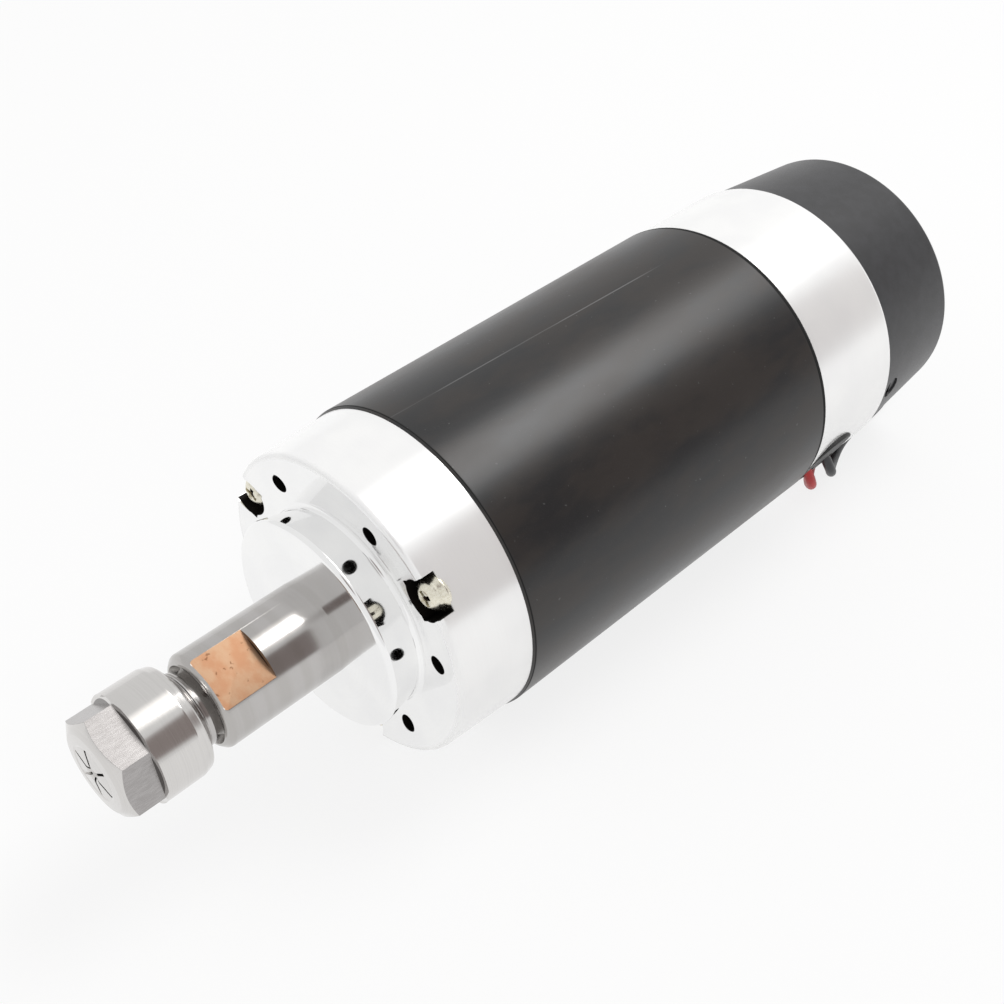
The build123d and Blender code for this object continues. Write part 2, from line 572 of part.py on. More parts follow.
# ---------------------------------------------------------------- magnets
magnet_ring = ring(MAGNET_X0, MAGNET_X1, TUBE_BORE_R - SEAT_GAP, MAGNET_R0)
half_span = radians(MAGNET_SPAN / 2)
reach = 2 * BODY_R
sector = make_face(Polyline(
    (0, 0), (reach * cos(half_span), reach * sin(half_span)), (reach, 0),
    (reach * cos(half_span), -reach * sin(half_span)), close=True))
sector = Rot(0, 90, 0) * Rot(0, 0, 90) * extrude(sector, amount=MAGNET_X1 + OVERCUT)
magnet_left = magnet_ring & sector
magnet_right = turned(magnet_left, 180)
clip_bore_r = TUBE_BORE_R - CLIP_T
clip_half = clip_bore_r * cos(half_span) - CLIP_GAP
clip_ring = ring(MAGNET_X0 + CLIP_T, MAGNET_X1 - CLIP_T, TUBE_BORE_R - SEAT_GAP, clip_bore_r)
clip_cut = block(MAGNET_X0, MAGNET_X1, 0, BODY_R, -clip_half, clip_half)
clip = turned(clip_ring & clip_cut, 90)
magnet_clips = group([clip, turned(clip, 180)])

# ---------------------------------------------------------------- brush gear
slack_w = BRUSH_W / 2 + ASSEMBLY_GAP
slack_t = BRUSH_T / 2 + ASSEMBLY_GAP
holder = block(BRUSH_X - slack_w - HOLDER_WALL, BRUSH_X + slack_w + HOLDER_WALL,
               -slack_t - HOLDER_WALL, slack_t + HOLDER_WALL, HOLDER_Z0, HOLDER_Z1)
holder -= block(BRUSH_X - slack_w, BRUSH_X + slack_w, -slack_t, slack_t,
                HOLDER_Z0 - OVERCUT, HOLDER_Z1 - HOLDER_WALL)
plate_x1 = BRUSH_X - slack_w - HOLDER_WALL
plate_r = HOLLOW_R - ASSEMBLY_GAP
brush_plate = ring(plate_x1 - PLATE_T, plate_x1, plate_r, plate_r - PLATE_W)
brush_face = COMM_R + RUN_GAP
brush = block(BRUSH_X - BRUSH_W / 2, BRUSH_X + BRUSH_W / 2, -BRUSH_T / 2, BRUSH_T / 2,
              brush_face - OVERCUT, brush_face + BRUSH_LEN)
brush -= rod(COMM_X0, COMM_X1 + BRUSH_W, brush_face)
spring_z0 = brush_face + BRUSH_LEN
spring_z1 = HOLDER_Z1 - HOLDER_WALL
spring_centre = Pos(BRUSH_X, 0, (spring_z0 + spring_z1) / 2)
brush_spring = spring_centre * Cylinder(SPRING_R, spring_z1 - spring_z0)
brush_spring -= spring_centre * Cylinder(SPRING_R - SPRING_WIRE, 2 * (spring_z1 - spring_z0))

# ---------------------------------------------------------------- fan
fan_bore_r = FAN_SHAFT_R + SEAT_GAP
fan = ring(FAN_X0, FAN_X1, FAN_HUB_R, fan_bore_r)
fan += ring(FAN_X0, FAN_X0 + FAN_PLATE_T, FAN_R, fan_bore_r)
blade = block(FAN_X0 + FAN_PLATE_T / 2, FAN_X1 - BLADE_EDGE, FAN_HUB_R - BLADE_EDGE / 2,
              FAN_R - PART_GAP, -BLADE_T / 2, BLADE_T / 2)
fan += around(blade, BLADE_COUNT)
fan_clip = ring(FAN_X1 + RUN_GAP, FAN_X1 + RUN_GAP + FAN_CLIP_T, FAN_CLIP_R, fan_bore_r)

# ---------------------------------------------------------------- leads
lead_z = FLOOR_Z + LEAD_R
red_y = HANK_Y + HANK_W / 2 - 3 * LEAD_R - STRAND_GAP
black_y = red_y + 2 * LEAD_R + STRAND_GAP
hank_end = HANK_X1 - HANK_W / 2
red_route = [
    (102.6, -18.55, -7.6), (103, -28, -19.3), (112.3, -20.3, -28.5), (124, -14.6, lead_z),
    (142.5, -13.4, lead_z), (154, -10, lead_z), (160.5, 4, lead_z), (161, 20, lead_z),
    (156.5, 37, lead_z), (146.5, 50, lead_z), (hank_end, red_y, lead_z)]
black_route = [
    (108.6, -18.55, -7.6), (109.2, -28, -19.3), (119.2, -21.4, -28.6), (131, -16.6, lead_z),
    (149, -15.9, lead_z), (160, -10.8, lead_z), (165.5, 4, lead_z), (166, 20.5, lead_z),
    (161.5, 38, lead_z), (150, 53.2, lead_z), (hank_end, black_y, lead_z)]
print("lead bends", [round(r, 1) for r in bend_radii(red_route) + bend_radii(black_route)])


def tail(y):
    """Free end of a lead, from the top of the hank down to the floor."""
    rise = HANK_H - 2 * LEAD_R - SCREW_GAP
    return lead_along([
        (HANK_X0 + 5, y, lead_z + rise), (HANK_X0 - 3, y, lead_z + 0.6 * rise),
        (HANK_X0 - 11.5, y, lead_z), (HANK_X0 - TAIL_LEN, y, lead_z)], LEAD_R)


lead_red = group([lead_along(red_route, LEAD_R), tail(red_y)])
lead_black = group([lead_along(black_route, LEAD_R), tail(black_y)])
tip_x1 = HANK_X0 - TAIL_LEN
lead_tips = group([rod(tip_x1 - TIP_LEN, tip_x1, TIP_R, y=y, z=lead_z)
                   for y in (red_y, black_y)])

lead_hank = block(HANK_X0, HANK_X1, HANK_Y - HANK_W / 2, HANK_Y + HANK_W / 2,
                  FLOOR_Z, FLOOR_Z + HANK_H)
lead_hank = fillet(lead_hank.edges().filter_by(Axis.Z), HANK_W / 2 - HANK_EDGE / 2)
lead_hank = fillet(lead_hank.edges().group_by(Axis.Z)[-1], HANK_EDGE)
tie_x = (HANK_X0 + HANK_X1) / 2
tie_half = HANK_W / 2 + TIE_T
lead_tie = block(tie_x - TIE_W / 2, tie_x + TIE_W / 2, HANK_Y - tie_half, HANK_Y + tie_half,
                 FLOOR_Z, FLOOR_Z + HANK_H + TIE_T) - lead_hank

flange_top = BELL_R + FLANGE_T
flange = spoke(GROMMET_X, HOLLOW_R, flange_top, GROMMET_R + FLANGE_W)
flange = fillet(flange.edges().group_by(Axis.Y)[-1], FLANGE_T / 2)
flange -= rod(TUBE_X1, REAR_X1, BELL_R + NOMINAL_GAP)
lead_grommet = spoke(GROMMET_X, HOLLOW_R + GROMMET_BACK, BELL_R + FLANGE_T / 2,
                     GROMMET_R - NOMINAL_GAP) + flange
lead_grommet = turned(lead_grommet, GROMMET_ANGLE)
outward = Vector(0, cos(radians(GROMMET_ANGLE)), sin(radians(GROMMET_ANGLE)))
crimps = []
for route in (red_route, black_route):
    start = Vector(*route[0])
    along = (Vector(*route[1]) - start).normalized()
    to_surface = (flange_top - start.dot(outward)) / along.dot(outward)
    lead_grommet -= lead_along(route[:4], LEAD_R + SEAT_GAP)
    lead_grommet -= Plane(start + along * to_surface, z_dir=along) * Cylinder(
        LEAD_R + LEAD_MOUTH, 2 * LEAD_R)
    crimps.append(Plane(start, z_dir=-along) * Cylinder(
        CRIMP_R, CRIMP_LEN, align=(Align.CENTER, Align.CENTER, Align.MIN)))
lead_crimps = group(crimps)

# ---------------------------------------------------------------- output
nodes = {
    "motor_tube": motor_tube, "front_bell": front_bell, "rear_bell": rear_bell,
    "fan_cap": fan_cap, "front_screws": front_screws, "rear_screws": rear_screws,
    "cap_screws": cap_screws, "magnet_left": magnet_left, "magnet_right": magnet_right,
    "magnet_clips": magnet_clips,
    "front_bearing_outer": fb_outer, "front_bearing_inner": fb_inner,
    "front_bearing_shields": fb_shields, "front_bearing_balls": fb_balls,
    "front_bearing_cage": fb_cage,
    "rear_bearing_outer": rb_outer, "rear_bearing_inner": rb_inner,
    "rear_bearing_shields": rb_shields, "rear_bearing_balls": rb_balls,
    "rear_bearing_cage": rb_cage, "wave_spring": wave_spring,
    "spindle_shaft": spindle_shaft, "shaft_sleeve": shaft_sleeve,
    "collet": collet, "collet_nut": collet_nut,
    "armature_core": armature_core, "core_insulators": core_insulators,
    "windings": windings, "commutator": commutator, "commutator_hub": commutator_hub,
    "brush_plate": brush_plate,
    "brush_holder_top": holder, "brush_holder_bottom": turned(holder, 180),
    "brush_top": brush, "brush_bottom": turned(brush, 180),
    "brush_spring_top": brush_spring, "brush_spring_bottom": turned(brush_spring, 180),
    "fan": fan, "fan_clip": fan_clip,
    "lead_grommet": lead_grommet, "lead_crimps": lead_crimps,
    "lead_red": lead_red, "lead_black": lead_black, "lead_hank": lead_hank,
    "lead_tie": lead_tie, "lead_tips": lead_tips,
}
for name, shape in nodes.items():
    export_step(shape, f"parts/{name}.step")
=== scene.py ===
"""Looks of the motor spindle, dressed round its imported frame.

Lengths are in millimetres, and MM turns them into metres where Blender takes them. X runs along
the spindle from the nut to the fan cap, and angles about it count from +Y towards +Z.
"""
import json
from math import cos, pi, radians, sin, tan

import bmesh
import bpy
from mathutils import Matrix, Vector


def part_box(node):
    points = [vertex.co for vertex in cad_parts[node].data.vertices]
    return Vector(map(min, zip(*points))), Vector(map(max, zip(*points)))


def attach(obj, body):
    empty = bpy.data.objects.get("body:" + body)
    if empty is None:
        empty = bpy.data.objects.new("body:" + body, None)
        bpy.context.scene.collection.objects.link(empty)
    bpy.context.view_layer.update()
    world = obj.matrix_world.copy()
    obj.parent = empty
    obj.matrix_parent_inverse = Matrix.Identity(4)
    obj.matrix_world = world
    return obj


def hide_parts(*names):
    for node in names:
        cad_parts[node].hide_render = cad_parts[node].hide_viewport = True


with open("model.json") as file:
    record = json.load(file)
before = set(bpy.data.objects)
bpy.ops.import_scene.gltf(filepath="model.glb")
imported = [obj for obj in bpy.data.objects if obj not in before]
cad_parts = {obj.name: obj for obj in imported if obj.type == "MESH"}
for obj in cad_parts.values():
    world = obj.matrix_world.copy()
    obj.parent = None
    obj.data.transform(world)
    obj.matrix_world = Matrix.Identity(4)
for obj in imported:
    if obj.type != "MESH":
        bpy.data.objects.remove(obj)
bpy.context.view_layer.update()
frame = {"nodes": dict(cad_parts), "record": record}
SCENE = bpy.context.scene
MM = 0.001
SEGMENTS = 240


def span(node):
    """First and last place of a node along the spindle, in millimetres."""
    low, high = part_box(node)
    return low.x / MM, high.x / MM


# ---------------------------------------------------------------- sizes from the frame
TUBE_X0, TUBE_X1 = span("motor_tube")
BODY_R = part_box("motor_tube")[1].y / MM
BELL_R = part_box("front_bell")[1].z / MM
BOSS_X = span("front_bell")[0]
CAP_X0, CAP_X1 = span("fan_cap")
CAP_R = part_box("fan_cap")[1].y / MM
NUT_X0, NUT_X1 = span("collet_nut")
COLLET_X0, COLLET_X1 = span("collet")
SHAFT_X0, SHAFT_X1 = span("spindle_shaft")
FLOOR_Z = -BODY_R

# ---------------------------------------------------------------- sizes of the visible forms
ASSEMBLY_GAP = 0.1
TUBE_WALL = 6.0
REAR_X1 = CAP_X0 - ASSEMBLY_GAP
SPIGOT_R = BODY_R - TUBE_WALL - ASSEMBLY_GAP
SPIGOT_LEN = 3.0
M3_R = 1.5
TAPPED_R = M3_R - 0.02
CLEAR_R = M3_R + 0.2

FRONT_SPIGOT_T = 4.0
FRONT_WEB_X = 13.0
BOSS_R = 20.0
SHAFT_BORE_R = 8.4
FRONT_BEARING_X0 = 4.0
FRONT_BEARING_R = 16.01
FRONT_LAND_R = 14.4
FRONT_RELIEF_X = 3.2
FACE_HOLE_COUNT = 6
FACE_HOLE_Y = 24.0
FACE_HOLE_R = 1.65
FACE_HOLE_DEPTH = 9.0
FACE_HOLE_MOUTH = 0.4
FACE_HOLE_ANGLE = 51.0

SCREW_COUNT = 3
SCREW_ANGLE = 21.0
SCREW_Y = 26.9
SCREW_SEAT_X = 3.1
SCREW_TOP = 0.9
SCREW_HEAD_R = 2.65
SCREW_END_X = 23.1
RECESS_W = 0.9
RECESS_SPAN = 3.2
POCKET_W = 7.4
POCKET_R = 4.0
POCKET_IN = 2.9
REAR_SCREW_Y = 26.0
REAR_SEAT_X = 116.8
REAR_HEAD_HOLE_R = 2.95
FRONT_TAP_X1 = 24.1
REAR_TAP_X0 = 85.8

REAR_HOLLOW_R = 21.0
REAR_WEB_X = 114.5
REAR_BOSS_R = 15.6
REAR_BEARING_X0 = 110.0
REAR_BEARING_R = 13.01
REAR_LIP_R = 6.0
REAR_LIP_T = 1.0
CAP_SPIGOT_R = 26.9
CAP_SPIGOT_T = 3.0
CAP_SPIGOT_LEN = 6.0
VENT_COUNT = 6
VENT_Y = 18.3
VENT_R = 2.2
LEAD_OUT_X = 105.5
LEAD_OUT_R = 6.4
LEAD_OUT_ANGLE = 206.0

CAP_WALL = 2.2
CAP_EDGE = 2.4
CAP_SLOT_COUNT = 12
CAP_SLOT_HALF_W = 1.4
CAP_NOTCH_DEPTH = 1.6
CAP_NOTCH_HALF_W = 1.5
CAP_NOTCH_ANGLE = 81
CAP_SCREW_X = 123.6
CAP_SCREW_ANGLES = (187.0, 7.0)

NOSE_R = 8.0
NOSE_X0 = -30.0
NOSE_EDGE = 0.5
JOURNAL_X0 = 3.95
JOURNAL_R = 7.49
CORE_SHAFT_X0 = 20.0
CORE_SHAFT_R = 6.0
REAR_JOURNAL_X0 = 94.0
REAR_JOURNAL_R = 4.99
FAN_SHAFT_X0 = 118.3
FAN_SHAFT_R = 4.0
DRAWBAR_X = -18.0
DRAWBAR_R = 2.6
NECK_R = 6.65
THREAD_R = 7.0
THREAD_X1 = -32.0
THREAD_PITCH = 0.75
THREAD_DEPTH = 0.42
THREAD_LEAD_IN = 0.6
FLAT_AF = 14.8
FLAT_LEN = 10.0
FLAT_ANGLE = 117.0

NUT_R = 9.5
NUT_AF = 17.0
NUT_ANGLE = 110.0
NUT_FLAT_X1 = -43.9
NUT_WALL = 0.35
NUT_MOUTH_R = 5.15
NUT_BORE_R = THREAD_R + 0.05
NUT_BORE_X0 = -46.5
NUT_CONE_X0 = -47.25
NUT_CONE_R = 5.7125
COLLET_R = 5.75
COLLET_NOSE_R = 5.0
COLLET_END_R = 3.79
COLLET_END_WALL = 3.2
COLLET_FACE_WALL = 2.6
SLIT_COUNT = 6
SLIT_W = 0.5
TOOL_R = 1.5875
LEAD_R = 1.1


# ---------------------------------------------------------------- mesh helpers
def rounded(outline, steps=4):
    """The outline's points, with an arc at each corner (x, radius, round) that names a round.

    Known fault: Vector.slerp gives unit vectors, so every arc has a radius of 1 mm about its
    centre whatever the round is, and stands off the outline. Times size[0] would mend it.
    """
    points = []
    for i, (x, r, *size) in enumerate(outline):
        corner = Vector((x, r))
        if not size:
            points.append(corner)
            continue
        before = (Vector(outline[i - 1][:2]) - corner).normalized()
        after = (Vector(outline[(i + 1) % len(outline)][:2]) - corner).normalized()
        half = before.angle(after) / 2
        centre = corner + (before + after).normalized() * size[0] / sin(half)
        start = corner + before * size[0] / tan(half) - centre
        end = corner + after * size[0] / tan(half) - centre
        points += [centre + start.slerp(end, k / steps) for k in range(steps + 1)]
    return points


def shown(name, mesh):
    """A bmesh made into an object of the scene, its faces outwards."""
    bmesh.ops.recalc_face_normals(mesh, faces=mesh.faces)
    data = bpy.data.meshes.new(name)
    mesh.to_mesh(data)
    mesh.free()
    piece = bpy.data.objects.new(name, data)
    SCENE.collection.objects.link(piece)
    return piece


def turned(name, outline, segments=SEGMENTS, radius_at=None):
    """Closed surface turned about X from an outline of (x, radius[, round]) corners."""
    mesh = bmesh.new()
    rings = []
    for x, r in rounded(outline):
        ring = []
        for k in range(segments if r > 0 else 1):
            angle = 2 * pi * k / segments
            at = radius_at(x, r, angle) if radius_at else r
            ring.append(mesh.verts.new((x * MM, at * MM * cos(angle), at * MM * sin(angle))))
        rings.append(ring)
    for first, second in zip(rings, rings[1:] + rings[:1]):
        if len(first) == len(second) == 1:
            continue
        for k in range(segments):
            following = (k + 1) % segments
            corners = [first[k % len(first)], first[following % len(first)],
                       second[following % len(second)], second[k % len(second)]]
            mesh.faces.new(dict.fromkeys(corners))
    return shown(name, mesh)


def block(x0, x1, y0, y1, z0, z1, taper=1.0):
    """Box between two corners; its end at x1 is narrowed by the taper."""
    mesh = bmesh.new()
    bmesh.ops.create_cube(mesh, size=1)
    for corner in mesh.verts:
        share = taper if corner.co.x > 0 else 1.0
        corner.co.x = (x0 + (corner.co.x + 0.5) * (x1 - x0)) * MM
        corner.co.y = ((y0 + y1) / 2 + corner.co.y * (y1 - y0) * share) * MM
        corner.co.z = ((z0 + z1) / 2 + corner.co.z * (z1 - z0) * share) * MM
    return shown("block", mesh)


def drill(x0, x1, r, mouth=0.0, segments=48):
    """Round cutter along X, flared by the mouth where it enters at x0."""
    outline = [(x0 - 1, 0), (x0 - 1, r + mouth), (x0, r + mouth), (x0 + mouth, r), (x1, r), (x1, 0)]
    return turned("drill", outline if mouth else outline[:2] + outline[4:], segments)


def moved(piece, matrix):
    piece.data.transform(matrix)
    return piece


def shifted(piece, x=0.0, y=0.0, z=0.0):
    return moved(piece, Matrix.Translation(Vector((x, y, z)) * MM))


def spun(piece, angle):
    """The piece turned about the spindle axis: 0 is +Y and 90 is +Z."""
    return moved(piece, Matrix.Rotation(radians(angle), 4, "X"))


def around(make, count, start):
    """Copies of what make() gives, evenly spaced about the axis."""
    return [spun(make(), start + k * 360 / count) for k in range(count)]


def joined(name, pieces):
    """The pieces as one object; each keeps its own faces."""
    mesh = bmesh.new()
    for piece in pieces:
        mesh.from_mesh(piece.data)
        bpy.data.objects.remove(piece)
    return shown(name, mesh)


def cut(piece, cutters):
    """Takes the cutters, which don't touch each other, out of the piece."""
    tool = joined("tool", cutters)
    change = piece.modifiers.new("cut", "BOOLEAN")
    change.operation = "DIFFERENCE"
    change.solver = "EXACT"
    change.object = tool
    bpy.context.view_layer.update()
    result = piece.evaluated_get(bpy.context.evaluated_depsgraph_get())
    piece.data = bpy.data.meshes.new_from_object(result)
    piece.modifiers.clear()
    bpy.data.objects.remove(tool)
    return piece


def place(piece, material, body, slot, *nodes, sharp=32, edge=0.0):
    """Shades the piece, gives it its finish and sets it in the frame in the place of the nodes."""
    piece.data.materials.clear()
    piece.data.materials.append(material)
    if edge:
        bevel = piece.modifiers.new("edges", "BEVEL")
        bevel.width = edge * MM
        bevel.segments = 2
        bevel.limit_method = "ANGLE"
        bevel.angle_limit = radians(sharp)
        bevel.use_clamp_overlap = True
    piece.data.shade_smooth()
    if not edge:
        piece.data.set_sharp_from_angle(angle=radians(sharp))
    weigh = piece.modifiers.new("normals", "WEIGHTED_NORMAL")
    weigh.mode = "FACE_AREA"
    weigh.weight = 80
    weigh.keep_sharp = True
    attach(piece, body)
    if nodes:
        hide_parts(*nodes)
    return piece


# ---------------------------------------------------------------- material helpers
class Finish:
    """One procedural material: a Principled shader and the nodes that feed it."""

    def __init__(self, name, **sockets):
        self.material = bpy.data.materials.new(name)
        self.material.use_nodes = True
        self.tree = self.material.node_tree
        self.shader = self.tree.nodes["Principled BSDF"]
        for socket, value in sockets.items():
            self.shader.inputs[socket.replace("_", " ")].default_value = value
        place_of = self.add("ShaderNodeTexCoord").outputs["Object"]
        self.place = self.vector("SCALE", place_of, Scale=1 / MM)
        parts = self.add("ShaderNodeSeparateXYZ", Vector=self.place).outputs
        self.x, self.y, self.z = parts
        across = self.add("ShaderNodeCombineXYZ", Y=self.y, Z=self.z).outputs[0]
        self.r = self.add("ShaderNodeVectorMath", "LENGTH", Vector=across).outputs["Value"]
        self.angle = self.math("ARCTAN2", self.z, self.y)
        self.rings = self.add("ShaderNodeCombineXYZ", X=self.x, Y=self.r).outputs[0]

    def add(self, kind, operation=None, **inputs):
        """A node of the tree; its inputs are sockets to link or values to set."""
        made = self.tree.nodes.new(kind)
        if operation:
            made.operation = operation
        for socket, value in inputs.items():
            self.feed(made.inputs[socket.replace("_", " ")], value)
        return made

    def feed(self, socket, value):
        if isinstance(value, bpy.types.NodeSocket):
            self.tree.links.new(value, socket)
        else:
            socket.default_value = value

    def vector(self, operation, first, second=None, **inputs):
        made = self.add("ShaderNodeVectorMath", operation, **inputs)
        self.feed(made.inputs[0], first)
        if second is not None:
            self.feed(made.inputs[1], second)
        return made.outputs[0]

    def math(self, operation, *values, clamp=False):
        made = self.add("ShaderNodeMath", operation)
        made.use_clamp = clamp
        for socket, value in zip(made.inputs, values):
            self.feed(socket, value)
        return made.outputs[0]

    def noise(self, place, scale, detail=2.0, roughness=0.5):
        """Noise about 0 to 1 whose grains are 1/scale millimetres."""
        return self.add("ShaderNodeTexNoise", Vector=place, Scale=scale, Detail=detail,
                        Roughness=roughness).outputs["Fac"]

    def spread(self, value, low, high, to_low=0.0, to_high=1.0):
        """The value moved from one range to another, smoothly and within it."""
        made = self.add("ShaderNodeMapRange", Value=value, From_Min=low, From_Max=high,
                        To_Min=to_low, To_Max=to_high)
        made.interpolation_type = "SMOOTHSTEP"
        return made.outputs[0]

    def blend(self, share, first, second):
        """One colour turning into another."""
        made = self.tree.nodes.new("ShaderNodeMix")
        made.data_type = "RGBA"
        self.feed(made.inputs[0], share)
        self.feed(made.inputs[6], first)
        self.feed(made.inputs[7], second)
        return made.outputs[2]

    def band(self, value, centre, half, soft):
        """1 inside centre +- half, falling to 0 over soft."""
        away = self.math("ABSOLUTE", self.math("SUBTRACT", value, centre))
        return self.spread(away, half, half + soft, 1.0, 0.0)

    def nearest(self, count, start, radius):
        """Distances outwards, sideways and straight from the nearest of places about the axis."""
        step = 2 * pi / count
        turn = self.math("SUBTRACT", self.angle, radians(start) - step / 2)
        turn = self.math("SUBTRACT", self.math("FLOORED_MODULO", turn, step), step / 2)
        out = self.math("SUBTRACT", self.math("MULTIPLY", self.r, self.math("COSINE", turn)), radius)
        sideways = self.math("MULTIPLY", self.r, self.math("SINE", turn))
        squares = self.math("ADD", self.math("MULTIPLY", out, out),
                            self.math("MULTIPLY", sideways, sideways))
        return out, sideways, self.math("SQRT", squares)

    def stretched(self, x, y, z):
        """The place with each direction scaled, for grain that runs one way."""
        return self.vector("MULTIPLY", self.place, (x, y, z))

    def unrolled(self, along, about):
        """The skin of a cylinder laid flat: distance along it and round it."""
        return self.add("ShaderNodeCombineXYZ", X=self.math("MULTIPLY", self.x, along),
                        Y=self.math("MULTIPLY", self.angle, about)).outputs[0]

    def relief(self, height, strength, depth):
        """Bump of a height in millimetres."""
        made = self.add("ShaderNodeBump", Strength=strength, Distance=depth * MM, Height=height)
        self.feed(self.shader.inputs["Normal"], made.outputs[0])

    def lathe_grain(self):
        """Highlights drawn out across the tool marks of a turned part."""
        tangent = self.add("ShaderNodeTangent")
        tangent.direction_type = "RADIAL"
        tangent.axis = "X"
        self.feed(self.shader.inputs["Tangent"], tangent.outputs[0])

    def done(self, colour, rough):
        self.feed(self.shader.inputs["Base Color"], colour)
        self.feed(self.shader.inputs["Roughness"], rough)
        return self.material


def grey(value):
    return (value, value, value, 1)


def metal(name, colour, dark, rough, ring_scale=5.0, anisotropy=0.0, relief=0.06, spots=0.25):
    """Turned or ground metal: fine rings, faint clouding and a few darker specks."""
    f = Finish(name, Metallic=1.0, Anisotropic=anisotropy, Anisotropic_Rotation=0.25)
    fine = f.noise(f.rings, ring_scale, 4.0, 0.65)
    cloud = f.noise(f.place, 0.22, 3.0)
    speck = f.spread(f.noise(f.place, 2.6, 1.0), 0.70, 0.78)
    shade = f.math("ADD", f.math("MULTIPLY", cloud, 0.6), f.math("MULTIPLY", fine, 0.4))
    tint = f.blend(f.spread(shade, 0.35, 0.65), dark, colour)
    tint = f.blend(f.math("MULTIPLY", speck, spots), tint, tuple(0.5 * v for v in dark[:3]) + (1,))
    f.relief(fine, relief, 0.01)
    if anisotropy:
        f.lathe_grain()
    return f.done(tint, f.spread(shade, 0.3, 0.7, rough * 0.85, rough * 1.2))


def turned_aluminium(name):
    """Bright turned aluminium: mirror faces, a softer and duller rim, and painted shade in the face's
    drillings, the shaft's gap and the screw pockets, the pockets also black with residue.
    """
    f = Finish(name, Anisotropic=0.7, Anisotropic_Rotation=0.25)
    fine = f.noise(f.rings, 3.0, 3.0, 0.6)
    cloud = f.noise(f.place, 0.10, 2.0)
    tint = f.blend(f.spread(cloud, 0.35, 0.65), (0.90, 0.90, 0.90, 1), (0.93, 0.93, 0.925, 1))
    tint = f.blend(f.math("MULTIPLY", f.spread(fine, 0.5, 0.8), 0.25), tint, (0.84, 0.835, 0.83, 1))
    # Painted shade: the walls of the face's drillings, of the shaft's gap and of the screw pockets are
    # coloured near black; in the pockets this also stands for black residue.
    away = f.nearest(FACE_HOLE_COUNT, FACE_HOLE_ANGLE, FACE_HOLE_Y)[2]
    hole_shade = f.math("MULTIPLY", f.band(away, 0.0, FACE_HOLE_R + 0.06, 0.06), f.spread(f.x, 0.2, 0.35))
    out, sideways, away = f.nearest(SCREW_COUNT, SCREW_ANGLE, SCREW_Y)
    square = f.math("MULTIPLY", f.band(sideways, 0.0, POCKET_W / 2 + 0.03, 0.03),
                    f.spread(out, -POCKET_IN - 0.06, -POCKET_IN - 0.02))
    pocket_residue_and_shade = f.math("MAXIMUM", square, f.band(away, 0.0, POCKET_R + 0.03, 0.03))
    pocket_residue_and_shade = f.math("MULTIPLY", pocket_residue_and_shade, f.band(f.x, 1.8, 1.62, 0.08))
    pocket_residue_and_shade = f.math("MULTIPLY", pocket_residue_and_shade, f.spread(f.r, BELL_R - 0.15, BELL_R - 0.05, 1.0, 0.0))
    bore_shade = f.math("MULTIPLY", f.spread(f.x, BOSS_X + 0.02, BOSS_X + 0.06),
                  f.band(f.r, SHAFT_BORE_R, 0.2, 0.05))
    inside = f.math("MAXIMUM", f.math("MAXIMUM", hole_shade, bore_shade), pocket_residue_and_shade)
    tint = f.blend(inside, tint, (0.012, 0.010, 0.009, 1))
    skin = f.spread(f.r, BELL_R - 1.2, BELL_R - 0.2)
    rough = f.math("ADD", f.spread(fine, 0.3, 0.7, 0.07, 0.10), f.math("MULTIPLY", skin, 0.12))
    f.relief(fine, 0.02, 0.01)
    f.lathe_grain()
    f.feed(f.shader.inputs["Metallic"], f.math("SUBTRACT", 1.0, f.math("MULTIPLY", skin, 0.55)))
    return f.done(tint, f.math("ADD", rough, f.math("MULTIPLY", inside, 0.5)))


def anodised(name, colour, warm, rough):
    """Satin black coating over a turned tube: fine grain, faint lengthwise draw marks, specks, and
    painted shade in a near-black band at each end.
    """
    f = Finish(name, IOR=1.5, Anisotropic=0.45, Anisotropic_Rotation=0.25)
    grain = f.noise(f.place, 5.0, 3.0, 0.7)
    cloud = f.noise(f.stretched(0.4, 1.0, 1.0), 0.12, 3.0, 0.6)
    drawn = f.noise(f.unrolled(0.02, BODY_R), 1.6, 3.0, 0.6)
    speck = f.spread(f.noise(f.place, 1.3, 1.0), 0.76, 0.80)
    tint = f.blend(f.spread(cloud, 0.38, 0.62), colour, warm)
    tint = f.blend(f.math("MULTIPLY", f.spread(grain, 0.55, 0.8), 0.5), tint, grey(0.055))
    tint = f.blend(f.math("MULTIPLY", speck, 0.5), tint, grey(0.10))
    scratch = f.math("ADD", f.math("MULTIPLY", f.x, 0.0009), 1.43)
    line = f.math("MULTIPLY", f.band(f.angle, scratch, 0.0025, 0.004), f.band(f.x, 48.0, 25.0, 12.0))
    broken = f.math("MULTIPLY", line, f.spread(drawn, 0.3, 0.6))
    tint = f.blend(f.math("MULTIPLY", broken, 0.8), tint, grey(0.13))
    # Painted shade: near-black bands at the tube's two ends stand for the shadow in the gaps to the
    # bells.
    ends = f.math("MAXIMUM", f.band(f.x, TUBE_X0, 0.08, 0.08), f.band(f.x, TUBE_X1, 0.65, 0.15))
    tint = f.blend(ends, tint, grey(0.001))
    f.relief(f.math("ADD", grain, drawn), 0.2, 0.010)
    f.lathe_grain()
    worn = f.spread(f.math("ADD", grain, cloud), 0.7, 1.3, rough * 0.88, rough * 1.14)
    return f.done(tint, f.math("ADD", worn, f.math("MULTIPLY", ends, 0.5)))


def moulded(name, colour, other, rough, scale=1.2, relief=0.2):
    """Plastic, rubber or pressed powder: two close tones and a fine skin."""
    f = Finish(name)
    grain = f.noise(f.place, scale * 4, 3.0, 0.6)
    cloud = f.noise(f.place, scale * 0.25, 2.0)
    f.relief(grain, relief, 0.02)
    return f.done(f.blend(f.spread(cloud, 0.3, 0.7), colour, other),
                  f.spread(grain, 0.3, 0.7, rough * 0.85, min(1.0, rough * 1.15)))


